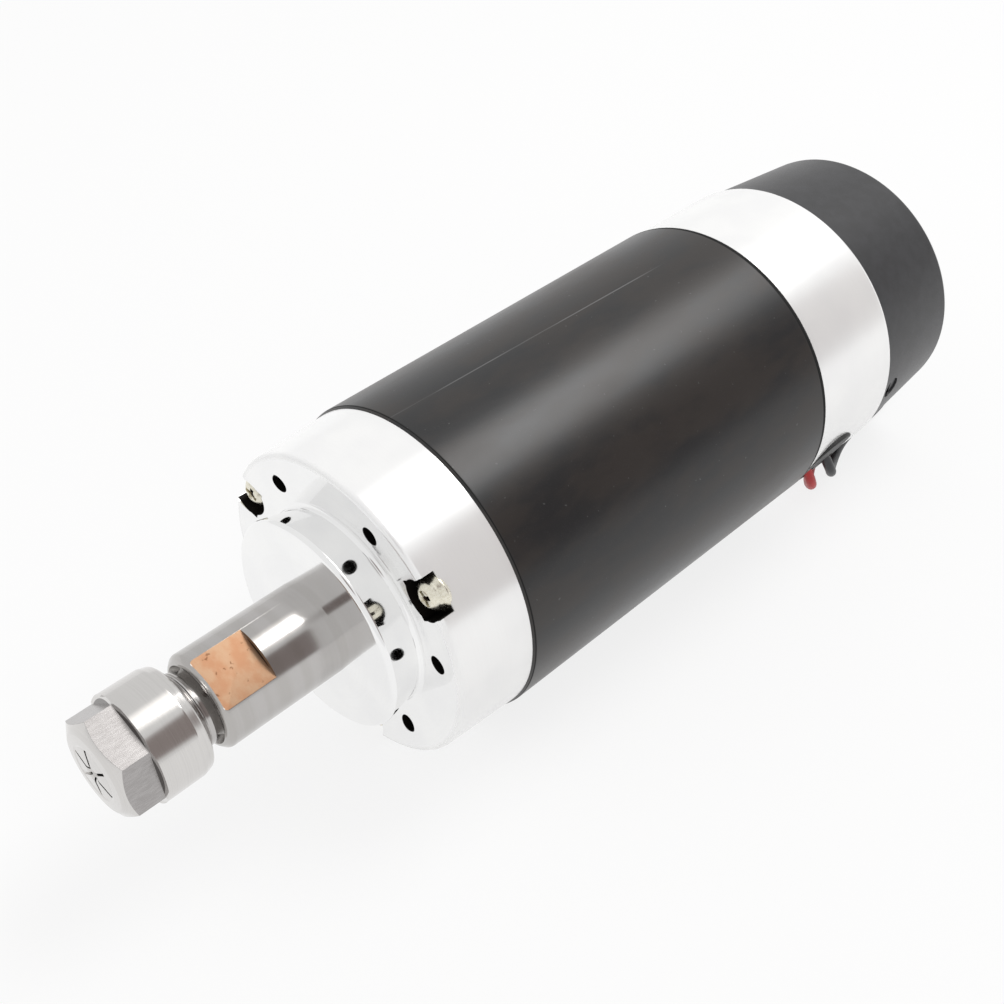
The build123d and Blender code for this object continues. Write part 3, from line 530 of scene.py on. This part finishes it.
def ground_shaft(name):
    """Ground steel with a tan, pitted skin on the two wrench flats, and painted shade where it runs
    into the bell and on the end walls of the flats.
    """
    f = Finish(name, Metallic=1.0, Anisotropic=0.6, Anisotropic_Rotation=0.25)
    fine = f.noise(f.rings, 7.0, 4.0, 0.7)
    cloud = f.noise(f.rings, 0.5, 3.0)
    steel = f.blend(f.spread(cloud, 0.35, 0.65), (0.47, 0.455, 0.44, 1), (0.50, 0.485, 0.475, 1))
    # Painted shade: the steel is coloured near black where the shaft runs into the bell.
    steel = f.blend(f.spread(f.x, BOSS_X - 0.1, BOSS_X + 0.1), steel, grey(0.012))
    tone = f.noise(f.stretched(1.0, 0.7, 0.7), 0.35, 4.0, 0.6)
    tan_skin = f.blend(f.spread(tone, 0.35, 0.65), (0.30, 0.160, 0.092, 1), (0.32, 0.205, 0.130, 1))
    pits = f.spread(f.noise(f.place, 0.9, 2.0), 0.66, 0.72)
    tan_skin = f.blend(f.math("MULTIPLY", pits, 0.75), tan_skin, (0.12, 0.05, 0.025, 1))
    side = radians(FLAT_ANGLE)
    height = f.math("ADD", f.math("MULTIPLY", f.y, cos(side)), f.math("MULTIPLY", f.z, sin(side)))
    on_flat = f.band(f.math("ABSOLUTE", height), FLAT_AF / 2, 0.02, 0.01)
    along = f.band(f.x, NOSE_X0 + FLAT_LEN / 2, FLAT_LEN / 2 - 0.02, 0.02)
    on_flat = f.math("MULTIPLY", on_flat, along)
    tint = f.blend(on_flat, steel, tan_skin)
    # Painted shade: the steep wall at the far end of each flat is coloured dark.
    wall = f.math("MULTIPLY", f.band(f.x, NOSE_X0 + FLAT_LEN, 0.04, 0.02),
                  f.spread(f.r, NOSE_R - 0.06, NOSE_R - 0.02, 1.0, 0.0))
    tint = f.blend(wall, tint, (0.05, 0.035, 0.025, 1))
    sunk = f.math("MULTIPLY", f.math("MULTIPLY", pits, on_flat), -6.0)
    f.relief(f.math("ADD", fine, sunk), 0.08, 0.012)
    f.lathe_grain()
    rough = f.math("ADD", f.spread(fine, 0.3, 0.7, 0.12, 0.17), f.math("MULTIPLY", on_flat, 0.24))
    return f.done(tint, rough)


def milled_nut(name):
    """Polished steel, the six wrench flats left as they were milled, with painted shade on the walls
    at their far ends.
    """
    f = Finish(name, Metallic=1.0, Anisotropic=0.5, Anisotropic_Rotation=0.25)
    fine = f.noise(f.rings, 6.0, 4.0, 0.65)
    milled = f.noise(f.stretched(0.6, 3.0, 3.0), 1.0, 3.0)
    out = f.nearest(6, NUT_ANGLE, NUT_AF / 2)[0]
    flat = f.math("MULTIPLY", f.band(out, 0.0, 0.03, 0.03),
                  f.spread(f.x, NUT_FLAT_X1 - 0.02, NUT_FLAT_X1, 1.0, 0.0))
    # Painted shade: the steep wall at the far end of each flat is coloured dark.
    wall = f.math("MULTIPLY", f.spread(f.x, NUT_FLAT_X1 - 0.02, NUT_FLAT_X1),
                  f.band(f.x, NUT_FLAT_X1, NUT_WALL, 0.02))
    wall = f.math("MULTIPLY", wall, f.spread(f.r, NUT_R - 0.08, NUT_R - 0.03, 1.0, 0.0))
    tint = f.blend(f.spread(fine, 0.3, 0.7), (0.63, 0.615, 0.60, 1), (0.68, 0.665, 0.65, 1))
    tint = f.blend(wall, tint, (0.16, 0.15, 0.145, 1))
    dull = f.blend(f.spread(milled, 0.3, 0.7), (0.36, 0.345, 0.34, 1), (0.42, 0.405, 0.40, 1))
    f.relief(fine, 0.04, 0.01)
    f.lathe_grain()
    rough = f.math("ADD", f.spread(fine, 0.3, 0.7, 0.11, 0.15), f.math("MULTIPLY", flat, 0.14))
    return f.done(f.blend(flat, tint, dull), rough)


def slit_collet(name):
    """Polished spring steel, with painted shade down its slits and in its tool hole."""
    f = Finish(name, Metallic=1.0)
    fine = f.noise(f.rings, 6.0, 3.0, 0.6)
    from_front = f.nearest(SLIT_COUNT, NUT_ANGLE - 30, 0.0)[1]
    from_rear = f.nearest(SLIT_COUNT, NUT_ANGLE, 0.0)[1]
    half = SLIT_W / 2 + 0.02
    # Painted shade: the slits and the tool hole are coloured near black.
    slit_and_hole_shade = f.math("MAXIMUM", f.band(from_front, 0.0, half, 0.02), f.band(from_rear, 0.0, half, 0.02))
    slit_and_hole_shade = f.math("MAXIMUM", slit_and_hole_shade, f.spread(f.r, TOOL_R + 0.02, TOOL_R + 0.06, 1.0, 0.0))
    slit_and_hole_shade = f.math("MULTIPLY", slit_and_hole_shade, f.spread(f.x, COLLET_X0 + 0.05, COLLET_X0 + 0.15))
    tint = f.blend(f.spread(fine, 0.3, 0.7), (0.60, 0.585, 0.57, 1), (0.68, 0.665, 0.65, 1))
    f.relief(fine, 0.04, 0.01)
    return f.done(f.blend(slit_and_hole_shade, tint, grey(0.008)), f.spread(fine, 0.3, 0.7, 0.14, 0.2))


def plated_screw(name):
    """Yellowish plating, with painted shade in the driver's recess."""
    f = Finish(name, Metallic=1.0)
    grain = f.noise(f.place, 3.0, 3.0, 0.6)
    away = f.nearest(SCREW_COUNT, SCREW_ANGLE, SCREW_Y)[2]
    # Painted shade: the driver's recess is coloured dark.
    low = f.spread(f.x, SCREW_TOP + 0.25, SCREW_TOP + 0.55)
    recess = f.math("MULTIPLY", low, f.band(away, 0.0, 1.75, 0.1))
    tint = f.blend(f.spread(grain, 0.3, 0.7), (0.72, 0.68, 0.56, 1), (0.86, 0.83, 0.72, 1))
    f.relief(grain, 0.1, 0.01)
    return f.done(f.blend(recess, tint, (0.05, 0.03, 0.025, 1)), f.spread(grain, 0.3, 0.7, 0.22, 0.32))


ALUMINIUM = turned_aluminium("turned_aluminium")
NUT_STEEL = metal("polished_steel", (0.78, 0.765, 0.75, 1), (0.70, 0.68, 0.665, 1), 0.15,
                  ring_scale=6.0, anisotropy=0.4, spots=0.1)
SHAFT_STEEL = ground_shaft("ground_steel")
FLATTED_STEEL = milled_nut("flatted_steel")
COLLET_STEEL = slit_collet("collet_steel")
RACE_STEEL = metal("bearing_steel", (0.74, 0.74, 0.75, 1), (0.64, 0.64, 0.66, 1), 0.12)
PLATED = plated_screw("plated_screw")
BLACKENED = metal("blackened_screw", (0.10, 0.10, 0.105, 1), (0.05, 0.05, 0.052, 1), 0.35)
BRASS = metal("pressed_brass", (0.80, 0.62, 0.30, 1), (0.62, 0.45, 0.20, 1), 0.32)
COPPER = metal("copper_bars", (0.86, 0.46, 0.30, 1), (0.62, 0.28, 0.16, 1), 0.3)
TINNED = metal("tinned_copper", (0.74, 0.72, 0.70, 1), (0.58, 0.55, 0.52, 1), 0.3, relief=0.2)
SHEET_STACK = metal("lamination_edges", (0.36, 0.36, 0.37, 1), (0.20, 0.20, 0.21, 1), 0.45,
                    ring_scale=2.0, relief=0.6)
TUBE_BLACK = anodised("tube_black", (0.010, 0.010, 0.011, 1), (0.020, 0.016, 0.014, 1), 0.34)
CAP_BLACK = moulded("cap_black", (0.020, 0.020, 0.022, 1), (0.027, 0.027, 0.030, 1), 0.38, 1.5, 0.12)
RUBBER = moulded("dark_rubber", (0.012, 0.012, 0.012, 1), (0.022, 0.022, 0.022, 1), 0.55)
RED = moulded("red_silicone", (0.50, 0.012, 0.012, 1), (0.40, 0.008, 0.010, 1), 0.42, relief=0.1)
BLACK = moulded("black_silicone", (0.014, 0.014, 0.016, 1), (0.026, 0.026, 0.030, 1), 0.42, relief=0.1)
FERRITE = moulded("ferrite", (0.045, 0.045, 0.050, 1), (0.085, 0.083, 0.085, 1), 0.6, 2.0, 0.5)
PHENOLIC = moulded("phenolic", (0.20, 0.080, 0.035, 1), (0.28, 0.12, 0.055, 1), 0.45)
ENAMEL = moulded("enamelled_wire", (0.55, 0.16, 0.05, 1), (0.68, 0.25, 0.09, 1), 0.28, 3.0, 0.6)
NYLON = moulded("nylon", (0.66, 0.60, 0.46, 1), (0.74, 0.69, 0.56, 1), 0.4)
PLASTIC = moulded("black_plastic", (0.016, 0.016, 0.017, 1), (0.028, 0.028, 0.030, 1), 0.4, 2.0)
CARBON = moulded("pressed_carbon", (0.018, 0.018, 0.019, 1), (0.040, 0.040, 0.042, 1), 0.5, 3.0, 0.5)

FINISH_OF_SLOT = {
    "tube_black": TUBE_BLACK, "turned_aluminium": ALUMINIUM, "cap_black": CAP_BLACK,
    "ground_steel": SHAFT_STEEL, "bright_steel": NUT_STEEL, "bearing_steel": RACE_STEEL,
    "screw_steel": PLATED, "dark_rubber": RUBBER, "red_lead": RED, "black_lead": BLACK,
    "ferrite": FERRITE, "lamination": SHEET_STACK, "copper": COPPER, "brass": BRASS,
    "insulation": PHENOLIC, "nylon": NYLON, "black_plastic": PLASTIC, "carbon": CARBON,
    "tin": TINNED,
}
for part in frame["record"]["subparts"]:
    mesh = frame["nodes"][part["node"]].data
    mesh.materials.clear()
    mesh.materials.append(FINISH_OF_SLOT[part["material_slot"]])
frame["nodes"]["windings"].data.materials[0] = ENAMEL
frame["nodes"]["cap_screws"].data.materials[0] = BLACKENED


# ---------------------------------------------------------------- housing
def make_tube():
    tube = turned("tube_body", [
        (TUBE_X0, BODY_R - TUBE_WALL, 0.2), (TUBE_X0, BODY_R, 0.3), (TUBE_X1, BODY_R, 0.3),
        (TUBE_X1, BODY_R - TUBE_WALL, 0.2)])
    cut(tube, around(lambda: shifted(drill(TUBE_X0 - 1, FRONT_TAP_X1, M3_R), y=SCREW_Y),
                     SCREW_COUNT, SCREW_ANGLE))
    cut(tube, around(lambda: shifted(drill(REAR_TAP_X0, TUBE_X1 + 1, M3_R), y=REAR_SCREW_Y),
                     SCREW_COUNT, SCREW_ANGLE))
    place(tube, TUBE_BLACK, "housing", "tube_black", "motor_tube")


def make_front_bell():
    spigot_x1 = TUBE_X0 + SPIGOT_LEN
    hollow_r = SPIGOT_R - FRONT_SPIGOT_T
    bell = turned("front_bell_body", [
        (BOSS_X, SHAFT_BORE_R, 0.15), (BOSS_X, BOSS_R, 0.6), (0, BOSS_R, 0.2), (0, BELL_R, 0.9),
        (TUBE_X0, BELL_R, 0.3), (TUBE_X0, SPIGOT_R), (spigot_x1, SPIGOT_R, 0.2),
        (spigot_x1, hollow_r), (FRONT_WEB_X, hollow_r), (FRONT_WEB_X, FRONT_BEARING_R),
        (FRONT_BEARING_X0, FRONT_BEARING_R), (FRONT_BEARING_X0, FRONT_LAND_R),
        (FRONT_RELIEF_X, FRONT_LAND_R), (FRONT_RELIEF_X, SHAFT_BORE_R)])
    cut(bell, around(lambda: shifted(drill(0, FACE_HOLE_DEPTH, FACE_HOLE_R, FACE_HOLE_MOUTH),
                                     y=FACE_HOLE_Y), FACE_HOLE_COUNT, FACE_HOLE_ANGLE))
    cut(bell, around(lambda: block(-1, SCREW_SEAT_X, SCREW_Y - POCKET_IN, BODY_R + 5,
                                   -POCKET_W / 2, POCKET_W / 2), SCREW_COUNT, SCREW_ANGLE))
    cut(bell, around(lambda: shifted(drill(-1, SCREW_SEAT_X, POCKET_R), y=SCREW_Y),
                     SCREW_COUNT, SCREW_ANGLE))
    cut(bell, around(lambda: shifted(drill(1, TUBE_X0 + 1, CLEAR_R), y=SCREW_Y),
                     SCREW_COUNT, SCREW_ANGLE))
    place(bell, ALUMINIUM, "housing", "turned_aluminium", "front_bell")


def make_front_screws():
    """Pan heads with a Phillips recess, deep in their pockets."""
    def screw():
        made = turned("screw", [
            (SCREW_TOP, 0), (SCREW_TOP, 1.5, 0.8), (SCREW_TOP + 1.0, SCREW_HEAD_R, 0.8),
            (SCREW_SEAT_X, SCREW_HEAD_R, 0.1), (SCREW_SEAT_X, TAPPED_R),
            (SCREW_END_X, TAPPED_R), (SCREW_END_X, 0)], 64)
        half, wide = RECESS_SPAN / 2, RECESS_W / 2
        cut(made, [block(SCREW_TOP - 0.5, SCREW_TOP + 1.4, -half, half, -wide, wide, 0.6)])
        cut(made, [block(SCREW_TOP - 0.5, SCREW_TOP + 1.4, -wide, wide, -half, half, 0.6)])
        return shifted(made, y=SCREW_Y)

    screws = joined("front_screw_set", around(screw, SCREW_COUNT, SCREW_ANGLE))
    place(screws, PLATED, "housing", "screw_steel", "front_screws", edge=0.06, sharp=40)


def radial_bar(x, r0, r1, radius, angle, segments=64):
    """Round bar that stands out from the axis between two distances."""
    bar = turned("bar", [(r0, 0), (r0, radius), (r1, radius), (r1, 0)], segments)
    moved(bar, Matrix.Rotation(pi / 2, 4, "Z"))
    return spun(shifted(bar, x=x), angle)


def make_rear_bell():
    spigot_x0 = TUBE_X1 - SPIGOT_LEN
    cap_spigot_x1 = REAR_X1 + CAP_SPIGOT_LEN
    cap_spigot_bore_r = CAP_SPIGOT_R - CAP_SPIGOT_T
    lip_x = REAR_X1 - REAR_LIP_T
    bell = turned("rear_bell_body", [
        (spigot_x0, REAR_HOLLOW_R), (spigot_x0, SPIGOT_R, 0.2), (TUBE_X1, SPIGOT_R),
        (TUBE_X1, BELL_R, 0.25), (REAR_X1, BELL_R, 0.35), (REAR_X1, CAP_SPIGOT_R),
        (cap_spigot_x1, CAP_SPIGOT_R, 0.3), (cap_spigot_x1, cap_spigot_bore_r),
        (REAR_X1, cap_spigot_bore_r), (REAR_X1, REAR_LIP_R), (lip_x, REAR_LIP_R),
        (lip_x, REAR_BEARING_R), (REAR_BEARING_X0, REAR_BEARING_R),
        (REAR_BEARING_X0, REAR_BOSS_R), (REAR_WEB_X, REAR_BOSS_R), (REAR_WEB_X, REAR_HOLLOW_R)])
    cut(bell, around(lambda: shifted(drill(REAR_WEB_X - 1.5, REAR_X1 + 1, VENT_R), y=VENT_Y),
                     VENT_COUNT, FACE_HOLE_ANGLE))
    cut(bell, around(lambda: shifted(drill(REAR_SEAT_X, REAR_X1 + 7, REAR_HEAD_HOLE_R),
                                     y=REAR_SCREW_Y), SCREW_COUNT, SCREW_ANGLE))
    cut(bell, around(lambda: shifted(drill(TUBE_X1 - 1, REAR_SEAT_X + 0.2, CLEAR_R),
                                     y=REAR_SCREW_Y), SCREW_COUNT, SCREW_ANGLE))
    cut(bell, [radial_bar(LEAD_OUT_X, 19, 32, LEAD_OUT_R, LEAD_OUT_ANGLE)])
    cut(bell, [radial_bar(CAP_SCREW_X, 23, 30, 1.27, angle) for angle in CAP_SCREW_ANGLES])
    place(bell, ALUMINIUM, "housing", "turned_aluminium", "rear_bell")


def make_fan_cap():
    inner_x = CAP_X1 - CAP_WALL
    inner_r = CAP_R - CAP_WALL
    cap = turned("fan_cap_body", [
        (CAP_X0, inner_r, 0.2), (CAP_X0, CAP_R, 0.35), (CAP_X1, CAP_R, CAP_EDGE), (CAP_X1, 0),
        (inner_x, 0), (inner_x, inner_r, 0.6)])
    cut(cap, around(lambda: block(inner_x - 1, CAP_X1 + 1, 9, 24, -CAP_SLOT_HALF_W,
                                  CAP_SLOT_HALF_W), CAP_SLOT_COUNT, 15))
    cut(cap, around(lambda: block(CAP_X1 - CAP_NOTCH_DEPTH, CAP_X1 + 1, CAP_R - 4, CAP_R + 1,
                                  -CAP_NOTCH_HALF_W, CAP_NOTCH_HALF_W), 2, CAP_NOTCH_ANGLE))
    cut(cap, [radial_bar(CAP_SCREW_X, 26, 31, 1.45, angle) for angle in CAP_SCREW_ANGLES])
    cut(cap, [radial_bar(CAP_SCREW_X, 27.8, 31, 2.3, angle) for angle in CAP_SCREW_ANGLES])
    place(cap, CAP_BLACK, "housing", "cap_black", "fan_cap", edge=0.15, sharp=40)


# ---------------------------------------------------------------- nose
def thread_at(x, r, angle):
    """Radius of the shaft with its fine thread cut in."""
    if not SHAFT_X0 + THREAD_LEAD_IN <= x <= THREAD_X1 - 0.1 or abs(r - THREAD_R) > 0.01:
        return r
    turn = (x - THREAD_PITCH * angle / (2 * pi)) / THREAD_PITCH
    wave = abs(2 * (turn % 1.0) - 1)
    return r - THREAD_DEPTH * min(1.0, max(0.0, 1.35 * wave - 0.2))


def make_shaft():
    steps = 12
    count = round((THREAD_X1 - SHAFT_X0 - 1) / THREAD_PITCH * steps)
    threaded = [(SHAFT_X0 + THREAD_LEAD_IN + k * THREAD_PITCH / steps, THREAD_R)
                for k in range(count)]
    shaft = turned("shaft_body", [
        (SHAFT_X0, 5.915), (SHAFT_X0, THREAD_R - 0.5), (SHAFT_X0 + 0.5, THREAD_R), *threaded,
        (THREAD_X1, THREAD_R - 0.2), (THREAD_X1, NECK_R, 0.15), (NOSE_X0, NECK_R, 0.15),
        (NOSE_X0, NOSE_R - NOSE_EDGE, 0.1), (NOSE_X0 + NOSE_EDGE, NOSE_R, 0.1),
        (JOURNAL_X0, NOSE_R, 0.2), (JOURNAL_X0, JOURNAL_R), (CORE_SHAFT_X0, JOURNAL_R),
        (CORE_SHAFT_X0, CORE_SHAFT_R), (REAR_JOURNAL_X0, CORE_SHAFT_R),
        (REAR_JOURNAL_X0, REAR_JOURNAL_R), (FAN_SHAFT_X0, REAR_JOURNAL_R),
        (FAN_SHAFT_X0, FAN_SHAFT_R), (SHAFT_X1, FAN_SHAFT_R, 0.5), (SHAFT_X1, 0), (DRAWBAR_X, 0),
        (DRAWBAR_X, DRAWBAR_R), (COLLET_X1 + 0.3, DRAWBAR_R), (COLLET_X1 + 0.3, 3.84)],
        radius_at=thread_at)
    cut(shaft, around(lambda: block(NOSE_X0 - 0.1, NOSE_X0 + FLAT_LEN, FLAT_AF / 2, FLAT_AF,
                                    -NOSE_R, NOSE_R), 2, FLAT_ANGLE))
    place(shaft, SHAFT_STEEL, "rotor", "ground_steel", "spindle_shaft", sharp=40)


def nut_side():
    """Cutter for one wrench flat, which ends in a steep wall."""
    outline = [(NUT_X0 - 1, NUT_AF / 2), (NUT_FLAT_X1, NUT_AF / 2),
               (NUT_FLAT_X1 + NUT_WALL, NUT_R + 0.2), (NUT_FLAT_X1, NUT_R + 3),
               (NUT_X0 - 1, NUT_R + 3)]
    mesh = bmesh.new()
    ends = [[mesh.verts.new((x * MM, y * MM, z * MM)) for x, y in outline]
            for z in (-NUT_R, NUT_R)]
    mesh.faces.new(ends[0])
    mesh.faces.new(ends[1])
    for k in range(len(outline)):
        following = (k + 1) % len(outline)
        mesh.faces.new((ends[0][k], ends[0][following], ends[1][following], ends[1][k]))
    return shown("side", mesh)


def make_nut():
    nut = turned("nut_body", [
        (NUT_X0, NUT_MOUTH_R, 0.15), (NUT_X0, NUT_R - 2.4, 0.3), (NUT_X0 + 1.4, NUT_R, 0.3),
        (NUT_X1 - 1.3, NUT_R, 0.4), (NUT_X1, NUT_R - 0.6, 0.2), (NUT_X1, NUT_BORE_R, 0.15),
        (NUT_BORE_X0, NUT_BORE_R), (NUT_BORE_X0, NUT_CONE_R), (NUT_CONE_X0, NUT_MOUTH_R)])
    for k in range(6):
        cut(nut, [spun(nut_side(), NUT_ANGLE + 60 * k)])
    place(nut, FLATTED_STEEL, "nut", "bright_steel", "collet_nut", edge=0.12, sharp=14)


def make_collet():
    collet = turned("collet_body", [
        (COLLET_X0, TOOL_R, 0.15), (COLLET_X0, COLLET_NOSE_R, 0.3), (-47.3, COLLET_NOSE_R),
        (-46.3, COLLET_R, 0.1), (-45.4, COLLET_R, 0.1), (COLLET_X1, COLLET_END_R),
        (COLLET_X1, TOOL_R)], 120)
    cut(collet, around(lambda: block(COLLET_X0 - 1, COLLET_X1 - COLLET_END_WALL, 1.0, 7,
                                     -SLIT_W / 2, SLIT_W / 2), SLIT_COUNT, NUT_ANGLE - 30))
    cut(collet, around(lambda: block(COLLET_X0 + COLLET_FACE_WALL, COLLET_X1 + 1, TOOL_R + 1, 7,
                                     -SLIT_W / 2, SLIT_W / 2), SLIT_COUNT, NUT_ANGLE))
    place(collet, COLLET_STEEL, "collet", "bright_steel", "collet", edge=0.05, sharp=40)


make_tube()
make_front_bell()
make_front_screws()
make_rear_bell()
make_fan_cap()
make_shaft()
make_nut()
make_collet()

# ---------------------------------------------------------------- leads
LEAD_Z = FLOOR_Z + LEAD_R
HANK_Y = 48.0
HANK_ENDS = (108.5, 131.5)
HANK_RISE = 4.6
TAIL_Z = LEAD_Z + HANK_RISE
RED_HALF = 4.9
BLACK_HALF = 7.4
RED_ROUTE = [
    (102.6, -18.55, -7.6), (103, -28, -19.3), (112.3, -20.3, -28.5), (124, -14.6, LEAD_Z),
    (142.5, -13.4, LEAD_Z), (154, -10, LEAD_Z), (160.5, 4, LEAD_Z), (161, 20, LEAD_Z),
    (156.5, 37, LEAD_Z), (146.5, 50, LEAD_Z), (131.5, 52.9, LEAD_Z)]
BLACK_ROUTE = [
    (108.6, -18.55, -7.6), (109.2, -28, -19.3), (119.2, -21.4, -28.6), (131, -16.6, LEAD_Z),
    (149, -15.9, LEAD_Z), (160, -10.8, LEAD_Z), (165.5, 4, LEAD_Z), (166, 20.5, LEAD_Z),
    (161.5, 38, LEAD_Z), (150, 53.2, LEAD_Z), (131.5, 55.4, LEAD_Z)]


def hank_turns(half, turns=2, steps=6):
    """Points of the folded turns: each climbs one lead's thickness along the near side."""
    rise = HANK_RISE / turns
    points = []
    for turn in range(turns):
        z = LEAD_Z + rise * turn
        for end, climb in ((0, 0.0), (1, rise)):
            centre = HANK_ENDS[end]
            for k in range(steps + 1):
                angle = pi / 2 + pi * k / steps + pi * end
                points.append((centre + half * cos(angle), HANK_Y + half * sin(angle), z + climb))
    return points


def make_lead(name, route, half, material):
    far_y = HANK_Y + half
    tail = [(105, far_y, TAIL_Z), (97, far_y, LEAD_Z + 0.6 * HANK_RISE), (88.5, far_y, LEAD_Z),
            (81, far_y, LEAD_Z)]
    points = route + hank_turns(half) + [(118, far_y, TAIL_Z)] + tail
    curve = bpy.data.curves.new(name, "CURVE")
    curve.dimensions = "3D"
    spline = curve.splines.new("NURBS")
    spline.points.add(len(points) - 1)
    for point, (x, y, z) in zip(spline.points, points):
        point.co = (x * MM, y * MM, z * MM, 1)
    spline.order_u = 3
    spline.use_endpoint_u = True
    spline.resolution_u = 12
    curve.bevel_depth = LEAD_R * MM
    curve.bevel_resolution = 6
    curve.use_fill_caps = True
    curve.materials.append(material)
    lead = bpy.data.objects.new(name, curve)
    SCENE.collection.objects.link(lead)
    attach(lead, "housing")
    return lead


red = make_lead("red_lead_cord", RED_ROUTE, RED_HALF, RED)
black = make_lead("black_lead_cord", BLACK_ROUTE, BLACK_HALF, BLACK)
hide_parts("lead_red")
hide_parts("lead_black", "lead_hank")


# ---------------------------------------------------------------- floor, light, camera
# Places of the tent: direction, degrees of full and of no effect, colour. Later ones lie on top.
PATCHES = [
    ((0.50, -0.06, 0.86), 9, 24, (1.9, 1.87, 1.83, 1)),
    ((-0.52, -0.33, 0.79), 7, 13, (0.24, 0.20, 0.19, 1)),
    ((0.50, -0.74, 0.42), 20, 29, (0.30, 0.26, 0.25, 1)),
]


def make_floor():
    mesh = bmesh.new()
    bmesh.ops.create_circle(mesh, cap_ends=True, segments=96, radius=6.0)
    floor = shown("floor", mesh)
    floor.location.z = (FLOOR_Z - 0.02) * MM
    f = Finish("floor_white", Roughness=0.9)
    f.feed(f.shader.inputs["Base Color"], grey(0.80))
    f.shader.inputs["Specular IOR Level"].default_value = 0.1
    rays = f.add("ShaderNodeLightPath").outputs
    seen = f.math("MAXIMUM", rays["Is Camera Ray"], rays["Is Glossy Ray"])
    seen = f.math("MAXIMUM", seen, rays["Is Transmission Ray"])
    glow = f.add("ShaderNodeEmission", Color=grey(1.0), Strength=1.0).outputs[0]
    both = f.add("ShaderNodeMixShader", Fac=f.math("MULTIPLY", seen, 0.82))
    f.feed(both.inputs[1], f.shader.outputs[0])
    f.feed(both.inputs[2], glow)
    f.feed(f.tree.nodes["Material Output"].inputs["Surface"], both.outputs[0])
    floor.data.materials.append(f.material)


def make_world():
    """White tent with the darker places that a bright metal part reflects."""
    world = bpy.data.worlds.new("tent")
    world.use_nodes = True
    SCENE.world = world
    tree = world.node_tree

    def add(kind, **settings):
        made = tree.nodes.new(kind)
        for name, value in settings.items():
            setattr(made, name, value)
        return made

    towards = add("ShaderNodeTexCoord").outputs["Generated"]

    def patch(direction, inner, outer):
        """1 within inner degrees of a direction, 0 beyond outer."""
        dot = add("ShaderNodeVectorMath", operation="DOT_PRODUCT")
        tree.links.new(towards, dot.inputs[0])
        dot.inputs[1].default_value = Vector(direction).normalized()
        step = add("ShaderNodeMapRange", interpolation_type="SMOOTHSTEP")
        step.inputs["From Min"].default_value = cos(radians(outer))
        step.inputs["From Max"].default_value = cos(radians(inner))
        tree.links.new(dot.outputs["Value"], step.inputs["Value"])
        return step.outputs[0]

    colour = grey(0.86)
    for direction, inner, outer, tone in PATCHES:
        mix = add("ShaderNodeMix", data_type="RGBA")
        tree.links.new(patch(direction, inner, outer), mix.inputs[0])
        if isinstance(colour, tuple):
            mix.inputs[6].default_value = colour
        else:
            tree.links.new(colour, mix.inputs[6])
        mix.inputs[7].default_value = tone
        colour = mix.outputs[2]
    sky = tree.nodes["Background"]
    tree.links.new(colour, sky.inputs["Color"])
    white = add("ShaderNodeBackground")
    white.inputs["Color"].default_value = grey(1.0)
    rays = add("ShaderNodeLightPath")
    both = add("ShaderNodeMixShader")
    tree.links.new(rays.outputs["Is Camera Ray"], both.inputs[0])
    tree.links.new(sky.outputs[0], both.inputs[1])
    tree.links.new(white.outputs[0], both.inputs[2])
    tree.links.new(both.outputs[0], tree.nodes["World Output"].inputs["Surface"])


def make_lamp(name, place_at, aim, size, power):
    data = bpy.data.lights.new(name, "AREA")
    data.shape = "RECTANGLE"
    data.size, data.size_y = size
    data.energy = power
    lamp = bpy.data.objects.new(name, data)
    lamp.location = place_at
    lamp.rotation_euler = (Vector(aim) - Vector(place_at)).to_track_quat("-Z", "Y").to_euler()
    SCENE.collection.objects.link(lamp)


def make_camera():
    """The camera of the photograph, fitted to the circles of the part."""
    right = Vector((0.7103, -0.7039, 0.0)).normalized()
    forward = Vector((0.5199, 0.5246, -0.6742)).normalized()
    up = right.cross(forward).normalized()
    data = bpy.data.cameras.new("camera")
    data.sensor_width = 36.0
    data.lens = 51.77
    data.clip_start = 0.01
    camera = bpy.data.objects.new("camera", data)
    turn = Matrix((right, up, -forward)).transposed().to_4x4()
    camera.matrix_world = Matrix.Translation((-0.10154, -0.14144, 0.1815)) @ turn
    SCENE.collection.objects.link(camera)
    SCENE.camera = camera


make_floor()
make_world()
make_lamp("softbox", (0.33, -0.06, 0.52), (0.05, 0, 0), (0.28, 0.28), 1.2)
make_camera()
SCENE.view_settings.view_transform = "Standard"
